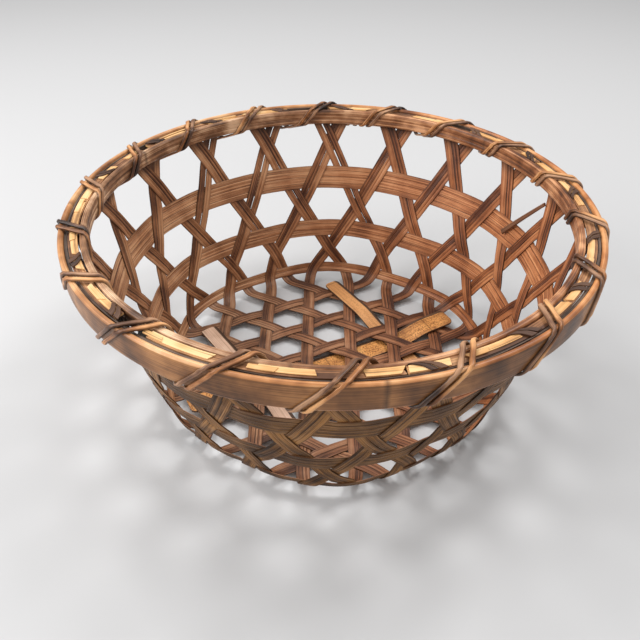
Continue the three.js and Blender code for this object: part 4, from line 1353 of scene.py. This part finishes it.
# Radius and height of each bend's middle, facing in degrees, share of a bay, and how far off it lies.
lash_anchors = np.array([
    [bend_outer, outer_foot + hoop_rounding, -80, 0, bend_off],
    [bend_outer, outer_foot + hoop_rounding, -12, bend_share, bend_off],
    [bend_outer, bend_top, 12, over_top - bend_share, bend_off],
    [bend_outer, bend_top, 80, over_top, bend_off],
    [bend_inner, bend_top, 100, to_inside - bend_share, bend_off],
    [bend_inner, bend_top, 168, to_inside, bend_off],
    [bend_inner, inner_foot + hoop_rounding, 192, to_below - bend_share, bend_off],
    [bend_inner, inner_foot + hoop_rounding, 250, to_below, bend_off],
    [return_radius, outer_foot, 262, 0.965, lash_off]])
sub_steps = (5, 6, 5, 5, 5, 4, 5, 6, 3)
print("one turn of the lashing has", sum(sub_steps), "rings")

# %% [markdown]
# ## A wound strand
#
# All turns of a strand follow each other in one long list, and values between the places come by
# straight interpolation. Small seeded changes from bay to bay keep the turns from looking stamped. The
# section is flat on the side that touches the rim and rounded outward.

# %% Strand rings
bay_change = 0.016      # how far the runs on the faces shift, as a share of a bay


def lash_rings(start_angle):
    """Rings of one strand for all its turns."""
    turns = []
    for turn in range(bays):
        anchors = lash_anchors.copy()
        anchors[2:6, 3] += rng.uniform(-bay_change, bay_change)
        anchors[:, 3] += turn
        turns.append(anchors)
    route = np.vstack(turns)[:-1]
    route[:, 2] += 360 * np.repeat(np.arange(bays), len(lash_anchors))[:-1]
    counts = (sub_steps * bays)[:len(route) - 1]
    steps = np.concatenate([i + np.arange(n) / n for i, n in enumerate(counts)] + [[len(route) - 1]])
    radius, height, facing, share, off = (np.interp(steps, range(len(route)), column)
                                          for column in route.T)
    share[1:-1] = (share[:-2] + share[1:-1] + share[2:]) / 3
    facing = np.radians(facing)
    middle = np.stack([radius + off * np.cos(facing), height + off * np.sin(facing)], 1)
    angle = start_angle + share * pitch
    half, low = lash_width / 2, lash_thickness / 2
    section = np.array([(-0.94 * half, -low), (0.94 * half, -low), (half, -0.2 * low),
                        (0.82 * half, 0.6 * low), (0.4 * half, 0.97 * low), (-0.4 * half, 0.97 * low),
                        (-0.82 * half, 0.6 * low), (-half, -0.2 * low)])
    outward = np.stack([np.cos(facing), np.sin(facing)], 1)
    spots = middle[:, None] + section[None, :, 1:] * outward[:, None]
    ring_angle = angle[:, None] + section[None, :, 0] / spots[..., 0]
    rings = round_the_rim(ring_angle, spots)
    centre = rings.mean(1)
    return rings, np.concatenate([[0], np.cumsum(np.linalg.norm(np.diff(centre, axis=0), axis=1))])


print("places in a whole strand:", bays * len(lash_anchors) - 1)

# %% [markdown]
# ## The two strands
#
# The strands differ only in where they start and in their finish. Painted shade darkens their edges,
# so the line between two strands that touch stays readable.

# %% Lashing strands
first_turn_angle = 84       # degrees round the rim, between the two strands
strands_apart = 2.1
# painted shade along the edges of each strand
strand_edge_shade = (1, 1, 1, 0.1, 0, 0, 0.1, 1)

for letter, side, material in (("a", 0.5, cane_light), ("b", -0.5, cane_grey)):
    rings, along = lash_rings(math.radians(first_turn_angle + strands_apart * side))
    bundle = Bundle()
    bundle.tube(rings, along, shade_and_marks=strand_edge_shade)
    piece = bundle.make(f"cane_strand_{letter}", [material], sharp=60)
    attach(piece, "root")
    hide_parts(f"lashing_strand_{letter}")
    print("strand", letter, "is", round(along[-1], 2), "m long")

# %% [markdown]
# ## Finishes of the slats
#
# Three loose slats stiffen the base. They look newer than the basket and don't match: the long one is
# golden with dark specks, one is plain and one tan. Their cut edges are dark, so a second material
# takes the narrow sides.

# %% Slat finishes
slat_golden = finish(
    "golden slat", (0.220, 0.072, 0.016), (0.720, 0.325, 0.092), (0.920, 0.520, 0.185), 0.5, sheen_of=0.05,
    bump=0.0002, Fibres_per_metre=1100, Splint_strength=0.0, Fibre_strength=0.5, Patch_strength=0.5,
    Streak_strength=0.7, Speckle=0.8, Cracks=0.3, Seed=41.0)
slat_plain = finish(
    "plain slat", (0.260, 0.100, 0.034), (0.610, 0.285, 0.100), (0.820, 0.440, 0.180), 0.5, sheen_of=0.05,
    bump=0.00015, Fibres_per_metre=1300, Splint_strength=0.0, Fibre_strength=0.35, Patch_strength=0.35,
    Streak_strength=0.7, Speckle=0.3, Cracks=0.35, Seed=43.0)
slat_tan = finish(
    "tan slat", (0.270, 0.155, 0.098), (0.660, 0.430, 0.300), (0.920, 0.720, 0.560), 0.5, sheen_of=0.08,
    bump=0.00015, Fibres_per_metre=900, Splint_strength=0.0, Fibre_strength=0.5, Patch_strength=0.4,
    Streak_strength=0.9, Cracks=0.3, Seed=47.0)
slat_edge = finish(
    "slat cut edge", (0.030, 0.014, 0.007), (0.090, 0.042, 0.020), (0.200, 0.100, 0.048), 0.6,
    bump=0.00015, Fibre_strength=0.6, Cracks=0.5, Seed=53.0)

# %% [markdown]
# ## The shape of a slat
#
# Each slat runs straight in plan, starts over the weave, dips through a hexagon hole and goes on
# underneath, where the basket stands on it. The long one comes up again. A bent plank could be posed
# with an armature, but a height that is level with ramps in between says the same in one line. The ends
# are cut by hand and rounded, and a dark line crosses a slat where the bamboo had a joint, with rings
# set close there so that the line is sharp.

# %% Slat shape
ramp_length = 0.034
rise_share, dip_share = 0.52, 0.48     # shares of a ramp that lie before its middle
end_rise = 0.06                        # a stiff slat still climbs a little past its ramp
slat_step = 0.0025
end_shares = np.array([0.03, 0.12, 0.3, 0.6])
joint_step, joint_half = 0.0004, 0.0006
end_width_share = 0.55
slat_trim = 0.00006
crown_drop = 0.00025
edge_wide = 0.0006
floor_level = slat_thickness / 2
tucked_level = slat_stack - seat_gap - slat_thickness / 2
over_level = weave_height + weave_half_height + seat_gap + slat_thickness / 2


def make_slat(name, node, hole, heading, width, back, front, ramps, material, round_back, round_front,
              culm_nodes=()):
    """A slat through a hole at a heading, with ramps between levels, rounded ends and dark culm nodes."""
    count = math.ceil((back + front) / slat_step)
    at = np.sort(np.concatenate([np.linspace(-back, front, count), -back + round_back * end_shares,
                                 front - round_front * end_shares]
                                + [spot + joint_step * np.arange(-4, 5) for spot in culm_nodes]))
    at = at[np.append(True, np.diff(at) > joint_step / 4)]
    dark_lines = sum([np.exp(-((at - spot) / joint_half) ** 2) for spot in culm_nodes], np.zeros(len(at)))
    level, here = np.full(len(at), over_level), over_level
    for middle, there in ramps:
        # Half eased and half straight, because a stiff slat bends less than a strip.
        start = middle - (rise_share if there > here else dip_share) * ramp_length
        climbed = np.clip((at - start) / ramp_length, 0, 1)
        level = level + (there - here) * (0.5 * ease(0, 1, climbed) + 0.5 * climbed)
        if there > here:
            level = level + end_rise * np.maximum(at - start - ramp_length, 0)
        here = there
    slope = np.gradient(level, at)
    heading_way = np.array([math.cos(heading), math.sin(heading), 0])
    aside_way = np.array([-heading_way[1], heading_way[0], 0])
    normal = unit(np.array([0, 0, 1]) - slope[:, None] * heading_way)
    taper = np.ones(len(at))
    for distance, size in ((at + back, round_back), (front - at, round_front)):
        near = np.clip(distance / size, 0, 1)
        taper = taper * (end_width_share + (1 - end_width_share) * np.sqrt(1 - (1 - near) ** 2))
    outline = rounded_outline(width, slat_thickness - slat_trim, 0.0005, corner_points=3, longest=0.003)
    crown = crown_drop * (2 * outline[:, 0] / width) ** 2 * (outline[:, 1] > 0)
    centre = np.array([hole[0], hole[1], 0]) + at[:, None] * heading_way + level[:, None] * [0, 0, 1]
    rings = (centre[:, None] + aside_way * (outline[None, :, :1] * taper[:, None, None])
             + normal[:, None] * (outline[:, 1] - crown)[None, :, None])
    kinds = (np.abs(outline[:, 0]) > width / 2 - edge_wide).astype(int)
    bundle = Bundle()
    bundle.tube(rings, at + back, kinds, shade_and_marks=dark_lines[:, None])
    piece = bundle.make(name, [material, slat_edge], sharp=50)
    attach(piece, "root")
    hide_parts(node)


print("slat levels:", round(floor_level, 4), round(tucked_level, 4), round(over_level, 4))

# %% [markdown]
# ## The three slats
#
# A slat is placed by the hexagon hole that it goes through, so its place follows the lanes of the base.
# The long one crosses the middle and goes down and up again through two holes. The ramps are given as
# a distance along the slat and the level that follows.

# %% Three slats
cell_wide = family_spacings[1] / (2 * math.cos(math.radians(family_angles[1])))
cell_deep = family_spacings[1] / (2 * math.sin(math.radians(family_angles[1])))
main_ramp = 2 * math.hypot(cell_wide, cell_deep)
main_heading = math.atan2(cell_deep, cell_wide)
main_aside = 0.003
main_middle = (-main_aside * math.sin(main_heading), main_aside * math.cos(main_heading))
make_slat("split_slat_main", "slat_main", main_middle, main_heading, width=0.024, back=0.148, front=0.148,
          ramps=((-main_ramp, floor_level), (main_ramp, over_level)), material=slat_golden,
          round_back=0.005, round_front=0.006, culm_nodes=(0.001, 0.120))
make_slat("split_slat_right", "slat_side_right", (cell_wide, 3 * cell_deep), math.radians(-56),
          width=0.018, back=0.077, front=0.132, ramps=((0, tucked_level), (0.068, floor_level)),
          material=slat_plain, round_back=0.006, round_front=0.004, culm_nodes=(-0.0738,))
make_slat("split_slat_left", "slat_side_left", (-cell_wide, -3 * cell_deep), math.radians(-54.6),
          width=0.018, back=0.145, front=0.066, ramps=((0, floor_level),), material=slat_tan,
          round_back=0.0015, round_front=0.003)

# %% [markdown]
# ## A stray splinter
#
# One thin dark splinter has worked loose behind the inner hoop and leans across the weave on the right.
# It is a tube like the others, laid along the surface and lifted off it, thinner towards its upper end
# and darkest at its foot.

# %% Splinter
splinter_foot, splinter_reach = 0.2689, 0.0496       # along the run
splinter_start, splinter_turn = 23.6, 10.4           # degrees round the basket
splinter_width, splinter_thinning = 0.0054, 0.0018
splinter_lift, splinter_sink = 0.0044, 0.0010
splinter_length = 0.052
splinter_steps = np.linspace(0, 1, 14)
splinter_run = splinter_foot + splinter_steps * splinter_reach
splinter_angle = np.radians(splinter_start - splinter_turn * splinter_steps)
spot = surface_point(splinter_run, splinter_angle)
inward = surface_frame(splinter_run, splinter_angle)[2]
way = unit(np.gradient(spot, axis=0))
across = unit(np.cross(way, inward))
outline = rounded_outline(1, 1, 0.35, corner_points=3)
size = splinter_width - splinter_thinning * splinter_steps
lift = splinter_lift - splinter_sink * splinter_steps
rings = (spot[:, None] + inward[:, None] * lift[:, None, None]
         + across[:, None] * (outline[None, :, :1] * size[:, None, None])
         + inward[:, None] * (outline[None, :, 1:] * size[:, None, None] * 0.6))
bundle = Bundle()
bundle.tube(rings, splinter_steps * splinter_length, shade_and_marks=0.35 + 0.4 * (1 - splinter_steps)[:, None] ** 4)
piece = bundle.make("stray_splinter", [tip_finish])
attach(piece, "root")

# %% [markdown]
# ## Floor
#
# A plain pale floor catches the shadows that tell where the basket stands. It isn't part of the basket.

# %% Floor
bpy.ops.mesh.primitive_plane_add(size=12)
floor = bpy.context.object
floor.name = "floor"
floor_finish = bpy.data.materials.new("pale floor")
floor_finish.use_nodes = True
floor_shader = floor_finish.node_tree.nodes["Principled BSDF"]
floor_shader.inputs["Base Color"].default_value = (0.58, 0.58, 0.585, 1)
floor_shader.inputs["Roughness"].default_value = 0.75
floor.data.materials.append(floor_finish)
print("floor with", floor_finish.name)

# %% [markdown]
# ## Lights
#
# Wide lamps give the soft shadows of a room. Two hang high at the back, the strongest stands at the
# left, as if at a window, and a weak one on the viewer's side keeps the front of the rim from going
# black. A plain grey world lifts what is left in shade.

# %% Lights
basket_middle = (0, 0, 0.1)


def soft_light(name, place, size, power):
    """A rectangular lamp that looks at the middle of the basket."""
    data = bpy.data.lights.new(name, "AREA")
    data.shape = "RECTANGLE"
    data.size, data.size_y = size
    data.energy = power
    lamp = bpy.data.objects.new(name, data)
    away = np.array(place) - basket_middle
    lamp.location = place
    lamp.rotation_euler = (math.acos(away[2] / np.linalg.norm(away)), 0,
                           math.atan2(away[1], away[0]) + math.pi / 2)
    bpy.context.scene.collection.objects.link(lamp)


soft_light("back left", (-0.8, 0.8, 1.9), (0.7, 0.7), power=14)
soft_light("back right", (0.9, 0.6, 1.9), (0.7, 0.7), power=18)
soft_light("window side", (-1.6, -0.5, 1.2), (1.4, 1.2), power=31)
soft_light("viewer side", (0.9, -1.8, 1.2), (1.6, 1.0), power=6)
world = bpy.data.worlds.new("soft room")
bpy.context.scene.world = world
world.use_nodes = True
world.node_tree.nodes["Background"].inputs["Color"].default_value = (0.83, 0.82, 0.81, 1)
world.node_tree.nodes["Background"].inputs["Strength"].default_value = 0.55
print("lamps:", ", ".join(light.name for light in bpy.data.lights))

# %% [markdown]
# ## Camera
#
# The camera stands where the photograph was taken from: in front and above, looking down at the basket.
# Its place, its slight turn and roll and its focal length were found by fitting the basket's outline
# and weave to the photograph, and the axes are worked out from those few angles.

# %% Camera
camera_place = (-0.0077, -0.5167, 0.4724)
look_down = 0.6725
look_aside = -0.0035
camera_roll = 0.0074
focal_share = 680 / 640   # focal length as a share of the picture's width
forward = np.array([math.sin(look_aside) * math.cos(look_down), math.cos(look_aside) * math.cos(look_down),
                    -math.sin(look_down)])
rightward = np.array([math.cos(look_aside), -math.sin(look_aside), 0])
upward = np.cross(rightward, forward)
right_rolled = math.cos(camera_roll) * rightward + math.sin(camera_roll) * upward
up_rolled = -math.sin(camera_roll) * rightward + math.cos(camera_roll) * upward
camera_data = bpy.data.cameras.new("camera")
camera_data.sensor_width = 36
camera_data.lens = 36 * focal_share
camera_data.clip_start = 0.01
camera = bpy.data.objects.new("camera", camera_data)
turn = Matrix(np.stack([right_rolled, up_rolled, -forward], 1).tolist()).to_4x4()
camera.matrix_world = Matrix.Translation(camera_place) @ turn
bpy.context.scene.collection.objects.link(camera)
bpy.context.scene.camera = camera
bpy.context.scene.view_settings.view_transform = "Standard"
print("camera at", camera_place, "with a lens of", round(camera_data.lens, 1), "mm")

# %% [markdown]
# ## Bringing the scene up to date
#
# The view layer is brought up to date, so that every piece stands in its final place.

# %% Scene update
bpy.context.view_layer.update()
